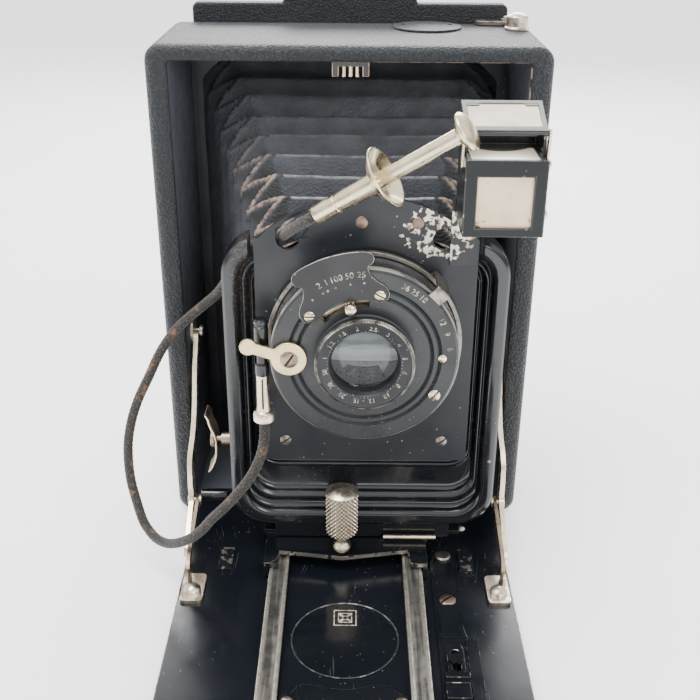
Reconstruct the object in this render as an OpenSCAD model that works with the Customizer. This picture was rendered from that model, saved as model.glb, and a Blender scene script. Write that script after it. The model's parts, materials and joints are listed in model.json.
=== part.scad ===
// Folding plate camera, opened on its drop bed.
// Origin: mouth of the tripod bush under the bed. +X right, +Y to the rear, +Z up.
// The lens looks along -Y. A distance "d" is counted forward from the case's front plane.

/* [Case] */
// Width of the case
case_w = 120; // [118:0.5:124]
// Height of the case
case_h = 162; // [160:0.5:166]
// Depth of the case without its sliding back
case_depth = 48; // [46:0.5:52]
// Thickness of the case's side walls
case_wall = 7; // [6:0.5:7]
// Distance from the tripod bush back to the front plane of the case
front = 24; // [20:0.5:30]

/* [Bed] */
// Width of the drop bed
bed_w = 103.5; // [102:0.5:104]
// Length of the drop bed in front of the case
bed_l = 151; // [145:0.5:154]
// Thickness of the drop bed
bed_t = 6; // [6:0.5:6]
// Width of one focusing rail
rail_w = 6; // [5.5:0.5:6]
// Distance between the outer edges of the two rails
rail_span = 48; // [47:0.5:48]

/* [Standard] */
// Sideways offset of the standard from the bed's centre line
standard_x = 5.2; // [4.5:0.1:5.2]
// Width of the standard's frame
standard_w = 83; // [82:0.5:84]
// Height of the top of the standard's uprights above the table
standard_top = 115; // [113:0.5:116]
// Distance of the standard's back plate in front of the case
standard_d = 22; // [21.8:0.1:22.4]
// Width of the lens board
board_w = 63.6; // [62:0.2:64]

/* [Lens and shutter] */
// Height of the lens axis above the table
lens_z = 83.5; // [82:0.5:84]
// Outer radius of the shutter case
shutter_r = 27; // [26.5:0.1:27]
// Radius of the knurled lens ring
ring_r = 14.1; // [13.8:0.1:14.4]
// Radius of the front glass
glass_r = 9.4; // [9:0.1:9.6]

/* [Cable release] */
// Diameter of the braided release cable
cord_dia = 3.2; // [3:0.1:3.2]
// Radius of the plunger rod
rod_r = 2.1; // [2:0.05:2.1]
// Radius of the finger dish
dish_r = 8.4; // [8:0.1:8.8]

/* [Finder] */
// Width of the finder box
finder_w = 21.2; // [20.8:0.2:21.4]
// Depth of the finder box
finder_depth = 17.7; // [17:0.1:18]

/* [Hidden] */
$fn = 64;
skin = 0.3;                    // gap between pieces that slide past each other
black = [0.05, 0.05, 0.06];
leather = [0.13, 0.14, 0.15];
nickel = [0.80, 0.75, 0.66];
brass = [0.70, 0.58, 0.36];
gunmetal = [0.36, 0.34, 0.31];
glass_tint = [0.55, 0.58, 0.62, 0.6];
cord_brown = [0.17, 0.14, 0.12];

floor_t = 6;                   // thickness of the case's floor
opening_top = case_h - 4.6;    // upper edge of the front opening
opening_w = case_w - 2 * case_wall;
window_w = 90;                 // plate window
window_h = 120;
window_z = 81;                 // height of the middle of the plate window
hinge_y = front + 3;           // bed hinge axis
hinge_z = 3;
hinge_span = 100;
rail_x = rail_span / 2 - rail_w / 2;
rail_flange_z = bed_t + 2;
rail_top = bed_t + 3.6;
carriage_z = rail_top + 0.4;
carriage_t = 1.6;
carriage_top = carriage_z + carriage_t;
stop_plate_d = 91.9;           // rear edge of the plate between the rails' front ends
plate_stud_x = 15.5;
plate_stud_d = 97.4;
knob_x = -1.3;
knob_d = 37;
knob_r = 5.15;
stud_x = standard_x - standard_w / 2;
stud_l = 5;                    // stud of the lock lever on the standard's left side
board_d = 29.2;                // rear face of the lens board
board_t = 1.8;
board_face = board_d + board_t;
board_low = 42;
board_high = 114.6;
dome_r = 43.5;                 // arched top of the board, centred on the lens axis
notch_x = 22.1;
notch_r = 3.4;
cover_d = 41;                  // rear face of the shutter's front cover
cover_t = 2.5;
cover_face = cover_d + cover_t;
socket_x = -24.4;
socket_d = 40;
socket_low = 61;
lever_x = -16.3;
lever_z = 83.6;
finder_x = 29.6;               // left side of the finder box
finder_d = 32.3;               // rear face of the finder box
finder_low = 122;
finder_h = 20.3;
finder_pivot_x = 33.2;
finder_pivot_z = 125.2;
hood_axis_d = 45.1;             // hinge along the lid's front edge
hood_axis_z = 148.2;
hood_open = 20;                // rise of the lid above level
arm_foot_d = 44;               // screws that hold the lid's side arms
arm_foot_z = 139.7;
back_y = front + case_depth;   // rear face of the case
back_slide_w = 104;
arm_x = 51;                    // strut arms, middle of their thickness

// Route of the release cable: [x, d, z] of points on its centre line.
cord_route = [
    [-24.4, 40, 61], [-24.4, 40, 56], [-25.2, 41.5, 51], [-26.8, 43, 47], [-28.8, 44, 43.5],
    [-32, 44.5, 39], [-36.5, 44.5, 33.5], [-41, 44, 28.5], [-44.2, 43.5, 24.2], [-48, 42.5, 20.2],
    [-52.5, 40, 16.4], [-57, 36.5, 13.4], [-61, 33, 12.5], [-64, 30, 13.5], [-66.4, 27.5, 16],
    [-68.5, 25, 22], [-70.2, 22.5, 28], [-71, 20, 34], [-71, 17.5, 40], [-69.8, 15, 46.5],
    [-67.5, 13, 53], [-64, 11, 60], [-60, 9.5, 68], [-55.5, 8.5, 74.5], [-50, 8, 80],
    [-45, 8.5, 84.5], [-40.5, 10, 89], [-36.5, 12.5, 95], [-33, 15, 101],
    [-29.5, 17.5, 106], [-25, 20.7, 110.2], [-20.8, 25, 112.6], [-18.2, 29, 114.9],
    [-16.6, 32.8, 117.2], [-14.8, 36.4, 119.6], [-12.2, 39.2, 122.1], [-10.4, 40.4, 123.4],
    [-8.55, 40.95, 124.7]
];
plunger_from = [-8.4, 41, 124.8];
plunger_to = [29.1, 52, 150];

function world(p) = [p[0], front - p[1], p[2]];
function unit(v) = v / norm(v);
dish_s = 19;                   // finger dish, button: distances along the plunger
button_s = 44.6;
plunger_dir = unit(world(plunger_to) - world(plunger_from));
plunger_tilt = acos(plunger_dir[2]);
plunger_turn = atan2(plunger_dir[1], plunger_dir[0]);

// ---- placing helpers ----

// A flat outline drawn as seen from the front, thick from distance d0 to distance d1.
module slab(d0, d1) {
    translate([0, front - d0, 0]) rotate([90, 0, 0]) linear_extrude(d1 - d0) children();
}

// A flat outline drawn as seen from above, thick from height z0 to height z1.
module layer(z0, z1) {
    translate([0, 0, z0]) linear_extrude(z1 - z0) children();
}

// An outline seen from the right side ([y, z] as [x, y]), thick from x0 to x1.
module side_slab(x0, x1) {
    translate([x0, 0, 0]) rotate([90, 0, 90]) linear_extrude(x1 - x0) children();
}

// Round things about the lens axis; their own z runs forward from distance d.
module on_lens(d) {
    translate([standard_x - 0.2, front - d, lens_z]) rotate([90, 0, 0]) children();
}

// A pin or disc that points forward from distance d.
module forward(x, d, z) {
    translate([x, front - d, z]) rotate([90, 0, 0]) children();
}

module on_plunger(s) {
    translate(world(plunger_from) + s * plunger_dir) rotate([0, plunger_tilt, plunger_turn]) children();
}

module box_between(low, high) {
    translate(low) cube(high - low);
}

module rounded(w, h, r) {
    square([w - 2 * r, h], center = true);
    square([w, h - 2 * r], center = true);
    for (sx = [-1, 1], sy = [-1, 1])
        translate([sx * (w / 2 - r), sy * (h / 2 - r)]) circle(r);
}

// Flat bar with round ends between two points of an outline.
module bar2d(a, b, w) {
    along = b - a;
    translate(a) rotate(atan2(along[1], along[0])) {
        translate([0, -w / 2]) square([norm(along), w]);
        circle(w / 2);
        translate([norm(along), 0]) circle(w / 2);
    }
}

module sector2d(r0, r1, a0, a1) {
    steps = ceil((a1 - a0) / 3);
    polygon(concat(
        [for (i = [0:steps]) let (a = a0 + (a1 - a0) * i / steps) r1 * [cos(a), sin(a)]],
        [for (i = [steps:-1:0]) let (a = a0 + (a1 - a0) * i / steps) r0 * [cos(a), sin(a)]]
    ));
}

module ring(r_out, r_in, h) {
    difference() {
        cylinder(r = r_out, h = h);
        translate([0, 0, -1]) cylinder(r = r_in, h = h + 2);
    }
}

module dome(r, h) {
    ball = (r * r + h * h) / (2 * h);
    intersection() {
        translate([0, 0, h - ball]) sphere(ball);
        cylinder(r = r, h = h);
    }
}

// ---- case ----

module case_outline() {
    translate([0, case_h / 2]) rounded(case_w, case_h, 5);
}

module case_shell() {
    color(leather) difference() {
        slab(-case_depth + 2, 0) case_outline();
        slab(-case_depth, 1) translate([-opening_w / 2, floor_t]) square([opening_w, opening_top - floor_t]);
        box_between([-hinge_span / 2 - skin, front - 1, -1], [hinge_span / 2 + skin, front + 6, floor_t + 1]);
    }
}

module rear_panel() {
    color(black) difference() {
        slab(-case_depth, -case_depth + 2) case_outline();
        slab(-case_depth - 1, 0) translate([0, window_z]) square([window_w, window_h], center = true);
    }
}

// Two channels and a sill that hold the sliding back.
module back_guides() {
    guide_in = back_slide_w / 2 + skin;
    color(black) {
        for (s = [-1, 1]) {
            side = s > 0 ? guide_in : -guide_in - 3.4;
            lip = s > 0 ? guide_in - 2.3 : -guide_in - 3.4;
            box_between([side, back_y, 2], [side + 3.4, back_y + 6.9, 160]);
            box_between([lip, back_y + 6.9, 2], [lip + 5.7, back_y + 8.1, 160]);
        }
        box_between([-guide_in, back_y, 2], [guide_in, back_y + 6.9, 4]);
    }
}

module back_frame() {
    color(black) difference() {
        union() {
            translate([0, back_y + skin, 0]) rotate([90, 0, 180]) linear_extrude(6) {
                translate([0, 86.2]) rounded(back_slide_w, 163.6, 2);
                translate([0, 169]) rounded(44, 8, 2);
            }
        }
        slab(-case_depth - 8, -case_depth) translate([0, window_z]) square([window_w, window_h], center = true);
    }
}

module ground_glass() {
    color(glass_tint) box_between([-window_w / 2, back_y + 1, window_z - window_h / 2],
                                  [window_w / 2, back_y + 2.6, window_z + window_h / 2]);
}

// Folding focusing hood, closed flat: a low rim round the window.
module hood_walls() {
    color(leather) slab(-case_depth - 9.6, -case_depth - 6.3) difference() {
        translate([0, window_z]) square([96, 128], center = true);
        translate([0, window_z]) square([88, 118], center = true);
    }
}

module hood_lid() {
    color(leather) {
        slab(-case_depth - 11.4, -case_depth - 9.9) translate([0, window_z - 1]) rounded(96, 126, 3);
        for (s = [-1, 1])
            translate([s * 30 - 8, back_y + 10.6, 147]) rotate([0, 90, 0]) ring(1.6, 0.85, 16);
        for (s = [-1, 1])
            box_between([s * 30 - 8, back_y + 9.95, 143], [s * 30 + 8, back_y + 11.35, 145.6]);
    }
}

module hood_lid_pin() {
    color(nickel) {
        translate([-41, back_y + 10.6, 147]) rotate([0, 90, 0]) cylinder(r = 0.8, h = 82);
        for (s = [-1, 1])
            box_between([s * 41 - 1.5, back_y + 6.3, 145.8], [s * 41 + 1.5, back_y + 9.7, 148]);
        for (s = [-1, 1])
            translate([s * 40.5 - 1, back_y + 10.6, 147]) rotate([0, 90, 0]) ring(1.1, 0.8, 2);
    }
}

// ---- bed ----

module bed_board() {
    color(leather) difference() {
        box_between([-bed_w / 2, front - bed_l, 0], [bed_w / 2, front - 0.6, bed_t - 1.2]);
        translate([0, 0, -1]) cylinder(r = 7, h = bed_t + 2);
    }
}

module bed_liner() {
    color(black) box_between([-bed_w / 2, front - bed_l, bed_t - 1.2], [bed_w / 2, front - 0.6, bed_t]);
}

module tripod_bush() {
    color(brass) ring(7, 4.8, bed_t - 1.2);
}

// Knuckles of the bed hinge: three on the bed, two on the case.
module hinge_knuckles() {
    piece = hinge_span / 5;
    color(gunmetal) for (i = [0:4]) {
        x0 = -hinge_span / 2 + i * piece + skin / 2;
        on_bed = i % 2 == 0;
        difference() {
            union() {
                translate([x0, hinge_y, hinge_z]) rotate([0, 90, 0]) cylinder(r = 2.6, h = piece - skin);
                if (on_bed)
                    box_between([x0, front - 0.6, 1], [x0 + piece - skin, hinge_y, 5]);
                else
                    box_between([x0, hinge_y, 1], [x0 + piece - skin, front + 6, 5]);
            }
            translate([x0 - 1, hinge_y, hinge_z]) rotate([0, 90, 0]) cylinder(r = 1.05, h = piece + 2);
        }
    }
}

module hinge_pin() {
    color(nickel) translate([-hinge_span / 2, hinge_y, hinge_z]) rotate([0, 90, 0]) cylinder(r = 1, h = hinge_span);
}

// Flanged rails: a narrow web with a wider flange that the carriage hooks round.
module rails() {
    color(gunmetal) for (s = [-1, 1]) {
        box_between([s * rail_x - 1.8, front - 136, bed_t], [s * rail_x + 1.8, front - 3, rail_flange_z]);
        box_between([s * rail_x - rail_w / 2, front - 136, rail_flange_z],
                    [s * rail_x + rail_w / 2, front - 3, rail_top]);
    }
}

module oval_plate() {
    color(black) translate([0, front - 71.8, bed_t]) cylinder(r = 15.8, h = 0.5);
}

// Plate at the front of the bed with a wavy rear edge.
module front_stop_plate() {
    edge = [for (i = [-8:8]) [i * 1.6, front - stop_plate_d - 0.9 * cos(i * 28)]];
    sides = [[14, front - 93.6], [17, front - 95], [17, front - 110], [-17, front - 110], [-17, front - 95],
             [-14, front - 93.6]];
    color(black) layer(bed_t, bed_t + 1.6) difference() {
        polygon(concat(edge, sides));
        for (s = [-1, 1]) translate([s * plate_stud_x, front - plate_stud_d]) circle(1);
    }
}

module stop_base() {
    color(black) {
        box_between([27, front - 118, bed_t], [34.6, front - 30, bed_t + 0.9]);
        box_between([28.2, front - 72.4, bed_t + 0.9], [34.2, front - 58, bed_t + 1.7]);
        translate([31.2, front - 83, bed_t + 0.9]) cylinder(r = 1.1, h = 2.4);
        translate([31.2, front - 83, bed_t + 3.3]) cylinder(r = 1.9, h = 0.8);
    }
}

// Sliding stop: a slotted ring that runs on the base's stud, with a raised tongue.
module infinity_stop() {
    color(black) {
        layer(bed_t + 1.2, bed_t + 3) difference() {
            bar2d([31.2, front - 88], [31.2, front - 78.5], 5);
            bar2d([31.2, front - 86], [31.2, front - 80], 2.4);
        }
        box_between([27.6, front - 97, bed_t + 1.2], [34.4, front - 89.2, bed_t + 3]);
        box_between([27.6, front - 91.4, bed_t + 3], [34.4, front - 89.2, bed_t + 5]);
    }
}

module scale_strip() {
    color(gunmetal) box_between([35, front - 96, bed_t], [38.6, front - 72, bed_t + 0.7]);
}

module slotted_screw(r, h) {
    difference() {
        dome(r, h);
        translate([-r, -r * 0.12, h * 0.45]) cube([2 * r, r * 0.24, h]);
    }
}

module bed_screws() {
    color(brass) {
        translate([31.2, front - 55.6, bed_t + 0.9]) slotted_screw(2.5, 1.1);
        translate([31.4, front - 34, bed_t + 0.9]) slotted_screw(2.5, 0.8);
        translate([38.8, front - 17, bed_t]) dome(1.7, 0.8);
        for (s = [-1, 1]) translate([s * plate_stud_x, front - plate_stud_d, bed_t]) {
            cylinder(r = 0.95, h = 1.6);
            translate([0, 0, 1.6]) dome(1.9, 1);
        }
    }
}

// ---- struts ----

module strut_brackets() {
    color(nickel) for (s = [-1, 1]) {
        x = s * 47.2;
        layer(bed_t, bed_t + 1.2) translate([x, front - 50]) rounded(7, 13, 1.5);
        translate([x, front - 52, bed_t + 1.2]) cylinder(r = 2.6, h = 1);
        translate([x, front - 52, bed_t + 2.2]) dome(2.6, 1.4);
        box_between([s * 38.6 - 2.2, front - 41, bed_t], [s * 38.6 + 2.2, front - 30, bed_t + 1.2]);
        box_between([s * 49.2 - 0.5, front - 50, bed_t + 1.2], [s * 49.2 + 0.5, front - 44, bed_t + 5]);
    }
}

// Lower links: from the bed bracket up to the pivot on the arm.
module strut_links() {
    color(nickel) for (s = [-1, 1])
        side_slab(s * 49.2 - 0.4, s * 49.2 + 0.4) difference() {
            union() {
                bar2d([front - 42.6, 13.5], [front - 20, 19], 3);
                bar2d([front - 47, 12.6], [front - 42.6, 13.5], 3);
                translate([front - 20, 19]) circle(2.4);
            }
            translate([front - 20, 19]) circle(1.05);
        }
}

// Upper arms: flat strips from the case wall down to the bed, kinked at the elbow.
module strut_arms() {
    color(nickel) for (s = [-1, 1])
        side_slab(s * arm_x - 0.6, s * arm_x + 0.6) difference() {
            union() {
                bar2d([front + 12, 66], [front - 17, 32], 3.4);
                bar2d([front - 17, 32], [front - 20, 19], 3.4);
                bar2d([front - 20, 19], [front - 37, 8.5], 3);
                translate([front + 12, 66]) circle(3.4);
                translate([front - 20, 19]) circle(2.6);
            }
            translate([front + 12, 66]) circle(1.05);
            translate([front - 20, 19]) circle(1.05);
        }
}

module strut_pins() {
    color(gunmetal) for (s = [-1, 1]) mirror([s > 0 ? 0 : 1, 0, 0]) {
        translate([opening_w / 2 - 1, front + 12, 66]) rotate([0, 90, 0]) cylinder(r = 4.4, h = 1);
        translate([arm_x - 1.6, front + 12, 66]) rotate([0, 90, 0]) cylinder(r = 1, h = 2.6);
        translate([arm_x - 1.8, front + 12, 66]) rotate([0, 90, 0]) cylinder(r = 2, h = 1);
        translate([48.2, front - 20, 19]) rotate([0, 90, 0]) cylinder(r = 1, h = 3.6);
        translate([48, front - 20, 19]) rotate([0, 90, 0]) cylinder(r = 1.6, h = 0.8);
        translate([51.65, front - 20, 19]) rotate([0, 90, 0]) cylinder(r = 1.9, h = 0.7);
        translate([39.4, front - 19.2, 20.4]) rotate([0, 90, 0]) cylinder(r = 1.9, h = 8.6);
    }
}

// ---- fittings of the case ----

// C-shaped brass catch under the top rim.
module door_catch_plate() {
    color(brass) slab(-9, -1.5) difference() {
        translate([0.4, opening_top - 2.2]) square([11, 4.4], center = true);
        translate([0.4, opening_top - 3]) square([7, 3], center = true);
    }
}

module door_catch_springs() {
    color(brass) for (x = [-1.6, 0.4, 2.4])
        translate([x, front + 3, opening_top - 4.5]) cylinder(r = 0.6, h = 3);
}

module top_cover_plate() {
    color(leather) translate([24.8, front + 37, case_h]) {
        cylinder(r = 11, h = 0.7);
        for (x = [-7.5, 7.5]) translate([x, 2.6, 0.7]) dome(1, 0.6);
    }
}

module back_catch_post() {
    color(nickel) translate([53.2, front + 35, case_h]) {
        cylinder(r = 3.9, h = 0.9);
        translate([0, 0, 0.9]) cylinder(r = 3.4, h = 3.2);
        translate([0, 0, 4.1]) dome(3.4, 1.2);
        translate([-2.2, 8.5, 0]) cylinder(r = 1, h = 3);
    }
}

// Turning catch that keeps the sliding back down.
module back_catch_arm() {
    color(gunmetal) translate([51, front + 43.5, case_h + 0.3]) {
        linear_extrude(1.2) difference() {
            bar2d([0, 0], [-8, 1], 4.6);
            circle(1.05);
        }
        translate([0, 0, 1.2]) ring(1.9, 1.05, 0.8);
    }
}

// ---- bellows ----

module bellows_outline(cx, w, z0, z1, cut) {
    x0 = cx - w / 2;
    x1 = cx + w / 2;
    polygon([
        [x0 + cut, z0], [x1 - cut, z0], [x1, z0 + cut], [x1, z1 - cut],
        [x1 - cut, z1], [x0 + cut, z1], [x0, z1 - cut], [x0, z0 + cut]
    ]);
}

module bellows_rear_frame() {
    color(black) slab(-case_depth + 2, -case_depth + 4.6) difference() {
        translate([0, window_z]) square([102, 147], center = true);
        translate([0, window_z]) square([window_w, window_h], center = true);
    }
}

module bellows() {
    rear = -case_depth + 4.6;
    near = standard_d - 0.4;
    wall = 4;
    color(black) difference() {
        hull() {
            slab(rear, rear + 0.1) bellows_outline(0, 99, 9, 153, 9);
            slab(near - 0.1, near) bellows_outline(standard_x, 60, 45, 111, 8);
        }
        hull() {
            slab(rear - 0.2, rear) bellows_outline(0, 99 - 2 * wall, 9 + wall, 153 - wall, 7);
            slab(near, near + 0.2) bellows_outline(standard_x, 60 - 2 * wall, 45 + wall, 111 - wall, 6);
        }
    }
}

// ---- carriage ----

module carriage() {
    hook_in = rail_span / 2 + 0.4;
    color(black) {
        layer(carriage_z, carriage_top) difference() {
            polygon([
                [-21.2, front - 37.4], [knob_x, front - 40.4], [19.8, front - 36.6], [20.2, front - 43.4],
                [25.8, front - 43.4], [25.8, front - 17], [-25.8, front - 17], [-25.8, front - 44],
                [-21.2, front - 44]
            ]);
            translate([knob_x, front - knob_d]) circle(1.25);
        }
        for (s = [-1, 1]) mirror([s > 0 ? 0 : 1, 0, 0]) {
            box_between([hook_in, front - 44, 6.7], [hook_in + 1.4, front - 17, carriage_z]);
            box_between([rail_x + 2.2, front - 44, 6.7], [hook_in, front - 17, 7.6]);
        }
        box_between([-27, front - 28, carriage_top], [37, front - 24.4, carriage_top + 1.4]);
    }
}

module cross_rod() {
    color(nickel) {
        translate([12, front - 31.6, carriage_top + 1.4]) rotate([0, 90, 0]) cylinder(r = 0.75, h = 17);
        for (x = [11, 25]) box_between([x, front - 32.4, carriage_top], [x + 1.4, front - 30.8, carriage_top + 0.6]);
    }
}

module clamp_knob() {
    color(nickel) translate([knob_x, front - knob_d, 0]) {
        translate([0, 0, carriage_z]) cylinder(r = 1.2, h = 2.4);
        translate([0, 0, carriage_top + skin]) cylinder(r = 2.7, h = 1.6);
        translate([0, 0, carriage_top + skin + 1.6]) cylinder(r = 1.9, h = 4.4);
        translate([0, 0, carriage_top + skin + 6]) cylinder(r1 = 3.6, r2 = knob_r, h = 1.4);
        translate([0, 0, carriage_top + skin + 7.4]) cylinder(r = knob_r, h = 14.4);
        translate([0, 0, carriage_top + skin + 21.8]) dome(knob_r, 2.2);
    }
}

// ---- standard ----

module frame_outline(inset) {
    low = 17 + inset;
    high = standard_top - inset;
    translate([standard_x, (low + high) / 2]) rounded(standard_w - 2 * inset, high - low, 10 - inset);
}

module standard_frame() {
    gap = 33.5;
    color(black) difference() {
        union() {
            slab(standard_d, standard_d + 1.2) frame_outline(0);
            slab(standard_d + 1.2, board_d + 0.6) difference() {
                frame_outline(0);
                frame_outline(2);
            }
            slab(board_d + 0.6, board_face + 0.2) difference() {
                frame_outline(0);
                frame_outline(4);
            }
            slab(standard_d + 1.2, board_d - skin) {
                for (s = [-1, 1]) translate([standard_x + s * 32, 76]) square([3, 72], center = true);
                translate([standard_x, 34]) square([72, 3], center = true);
            }
            translate([stud_x - stud_l, front - 25.5, 46]) rotate([0, 90, 0]) cylinder(r = 1, h = stud_l + 0.2);
            translate([stud_x - stud_l + 1.9, front - 25.5, 46]) rotate([0, 90, 0]) cylinder(r = 2, h = stud_l - 1.7);
        }
        slab(standard_d - 1, standard_d + 2) translate([standard_x, 74.5]) square([54, 57], center = true);
        slab(standard_d - 1, board_face + 2) translate([standard_x - gap, 107]) square([2 * gap, 20]);
    }
}

// Shoe that runs sideways on the carriage's cross rail.
module standard_foot() {
    low = carriage_top + 0.4;
    color(black) {
        box_between([standard_x - 28, front - 30, carriage_top + 1.8], [standard_x + 28, front - 22.2, 17]);
        for (y = [front - 30, front - 23.9])
            box_between([standard_x - 28, y, low], [standard_x + 28, y + 1.5, carriage_top + 1.8]);
    }
}

// Spring lever on the side of the standard that locks the lens board's height.
// Bent leaf of the rise lever, [x, z] as seen from the front.
lever_leaf = [
    [-43.4, 55.6], [-42.9, 52.6], [-41.6, 49], [-40.8, 43.5], [-41.4, 39.8], [-42.9, 36], [-43.9, 34.7]
];

module rise_lever() {
    color(nickel) difference() {
        union() {
            translate([stud_x - stud_l + 0.5, front - 25.5, 46]) rotate([0, 90, 0])
                cylinder(r = 2.6, h = 1.2);
            slab(21, 28) for (i = [0:len(lever_leaf) - 2])
                bar2d(lever_leaf[i], lever_leaf[i + 1], 0.9);
        }
        translate([-50, front - 25.5, 46]) rotate([0, 90, 0]) cylinder(r = 1.05, h = 20);
    }
}

// ---- lens board ----

module board_outline() {
    half = board_w / 2;
    low = board_low;
    translate([standard_x, 0]) difference() {
        union() {
            translate([-half, low]) square([board_w, board_high - low]);
            intersection() {
                translate([0, lens_z]) circle(dome_r);
                translate([-30.4, 100]) square([60.8, 60]);
            }
        }
        for (s = [-1, 1]) translate([s * notch_x, board_high]) circle(notch_r);
        intersection() {
            translate([0, lens_z]) circle(dome_r - 1);
            translate([-notch_x - notch_r, board_high]) square([9.5, 20]);
        }
    }
}

module lens_board() {
    color(black) difference() {
        union() {
            slab(board_d, board_face) board_outline();
            slab(standard_d + 1.8, board_d) for (s = [-1, 1])
                translate([standard_x + s * 28.8, 76]) square([2.4, 56], center = true);
        }
        on_lens(0) cylinder(r = 12.6, h = 60);
        for (s = [-1, 1]) forward(standard_x + s * 24, 20, 49) cylinder(r = 1.05, h = 20);
        for (x = [-1.3, 14.4]) forward(standard_x + x, 20, 119.4) cylinder(r = 0.95, h = 20);
    }
}

module board_screws() {
    color(brass) {
        for (s = [-1, 1]) forward(standard_x + s * 24, board_d, 49) {
            cylinder(r = 1, h = board_t);
            translate([0, 0, board_t]) slotted_screw(1.7, 0.6);
        }
        for (x = [-1.3, 14.4]) forward(standard_x + x, board_d, 119.4) {
            cylinder(r = 0.9, h = board_t);
            translate([0, 0, board_t]) dome(1.8, 0.5);
        }
    }
    color(nickel) forward(lever_x, cover_face - 2.5, lever_z) {
        cylinder(r = 1, h = 4.4);
        translate([0, 0, 4.4]) slotted_screw(2.3, 1);
    }
}

module shutter_case() {
    color(black) on_lens(board_face) {
        ring(shutter_r, 12.6, 1.2);
        ring(shutter_r, shutter_r - 1.6, cover_d - board_face);
        ring(13.8, 12.45, 7);
    }
}

// Front cover: stepped rings turned round the lens, with the arc slot of the speed pin.
module shutter_cover() {
    color(black) on_lens(cover_d) difference() {
        rotate_extrude() polygon([
            [12.7, 0], [shutter_r - 0.1, 0], [shutter_r - 0.1, cover_t - 0.9], [shutter_r - 1, cover_t], [22, cover_t],
            [21.4, cover_t - 0.6], [20.8, cover_t], [19.7, cover_t], [19.1, cover_t - 0.6],
            [18.5, cover_t], [12.7, cover_t]
        ]);
        translate([0, 0, -1]) linear_extrude(5) sector2d(15.5, 17.7, 86, 136);
        translate([lever_x - standard_x + 0.2, lever_z - lens_z, -1]) cylinder(r = 1.05, h = 5);
    }
}

// Shutter blades, closed: two thin halves just behind the diaphragm.
module shutter_blades() {
    color(gunmetal) on_lens(36.4) for (s = [0, 180]) rotate(s)
        linear_extrude(0.3) intersection() {
            circle(12.45);
            translate([0.05, -20]) square([20, 40]);
        }
}

module iris_blades() {
    color(gunmetal) on_lens(35) linear_extrude(0.5) difference() {
        circle(12.45);
        circle(5.4, $fn = 10);
    }
}

// Outline of the speed plate about the lens axis: a curved upper part on two screw lugs.
plate_outline = [
    [6.6, 20.2], [6.2, 18.5], [5, 17.6], [3.3, 17.5], [1.7, 17.8], [-1.3, 17.9], [-4.3, 17.6],
    [-7, 16.9], [-9.4, 15.7], [-11, 14.2], [-12.3, 12.6], [-13.9, 11.4], [-15.5, 10.9], [-16.9, 11.3],
    [-17.9, 12.3], [-18.3, 13.8], [-18.1, 15.4], [-17.5, 17.1], [-17.1, 19], [-17.1, 20.4],
    [-17.5, 21.3], [-18.3, 21.6], [-19.2, 21.8], [-20, 22.7], [-20.3, 23.8], [-20, 25], [-19.1, 26],
    [-17.6, 27.1], [-14.9, 28.6], [-11.5, 30.1], [-8.1, 31.1], [-4.8, 31.8], [-1.9, 32.1], [0.1, 32.1],
    [1.3, 31.8], [2, 30.9], [2.2, 29.9], [1.7, 28.8], [0.7, 28], [0.6, 27.2], [1.2, 25.8], [2.3, 24.4],
    [3.9, 23.2], [5.5, 22.2]
];

// Arched plate over the shutter, held by two screws, with a flat face for the speeds.
module speed_plate() {
    color(black) {
        on_lens(cover_face) linear_extrude(0.8) difference() {
            polygon(plate_outline);
            rotate(78.5) translate([19.7, 0]) circle(0.95);
            rotate(140) translate([20, 0]) circle(0.95);
        }
    }
    color(brass) on_lens(cover_face) {
        for (p = [[78.5, 19.7], [140, 20]]) rotate(p[0]) translate([p[1], 0, 0]) {
            cylinder(r = 0.9, h = 0.8);
            translate([0, 0, 0.8]) slotted_screw(1.7, 0.7);
        }
    }
}

// Speed ring inside the shutter with the nickel pin that comes out through the slot.
module speed_ring() {
    color(nickel) {
        on_lens(39.2) ring(18, 14.6, 1);
        on_lens(39.2) rotate(104) translate([16.6, 0, 0]) {
            cylinder(r = 0.8, h = 6.2);
            translate([0, 0, 6.2]) cylinder(r = 1.6, h = 1.6);
            translate([0, 0, 7.8]) dome(1.6, 0.6);
        }
    }
}

// Aperture ring behind the shutter with its bent pointer.
module aperture_pointer() {
    color(gunmetal) on_lens(32.4) {
        ring(28.4, shutter_r + skin, 1.6);
        rotate(43) {
            translate([28.2, -2.2, 0]) cube([1.2, 4.4, 13.4]);
            translate([24.6, -2.2, 12.6]) cube([4.8, 4.4, 0.8]);
        }
    }
}

module release_lever() {
    tip = [-11.4, 3.6];
    color(nickel) {
        forward(lever_x, cover_face + skin, lever_z) linear_extrude(1.3) difference() {
            union() {
                circle(5.1);
                bar2d([0, 0], tip, 3.4);
                translate(tip) circle(2.5);
            }
            circle(1.05);
        }
    }
}

module front_cell() {
    color(black) on_lens(cover_face) {
        difference() {
            rotate_extrude() polygon([
                [glass_r + 0.02, 0], [ring_r - 1.1, 0], [ring_r, 0.6], [ring_r, 4.4], [ring_r - 0.8, 5.4],
                [ring_r - 1.6, 5.4], [glass_r + 0.6, 2.6], [glass_r + 0.02, 2.6]
            ]);
        }
        translate([0, 0, -3.4]) ring(12.4, glass_r + 0.02, 3.4);
    }
}

// Front and rear glasses of the lens.
module lens_glasses() {
    color(glass_tint) {
        on_lens(cover_face - 2) {
            cylinder(r = glass_r, h = 1.8);
            translate([0, 0, 1.8]) dome(glass_r, 2);
        }
        on_lens(22) {
            translate([0, 0, 0]) cylinder(r = 8.6, h = 3);
        }
    }
}

module rear_cell() {
    color(black) {
        on_lens(20.5) ring(10.6, 8.62, board_d - 20.5 + 1.2);
        on_lens(board_d) ring(12.4, 10.6, board_t + 0.8);
    }
}

// ---- cable release ----

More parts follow.
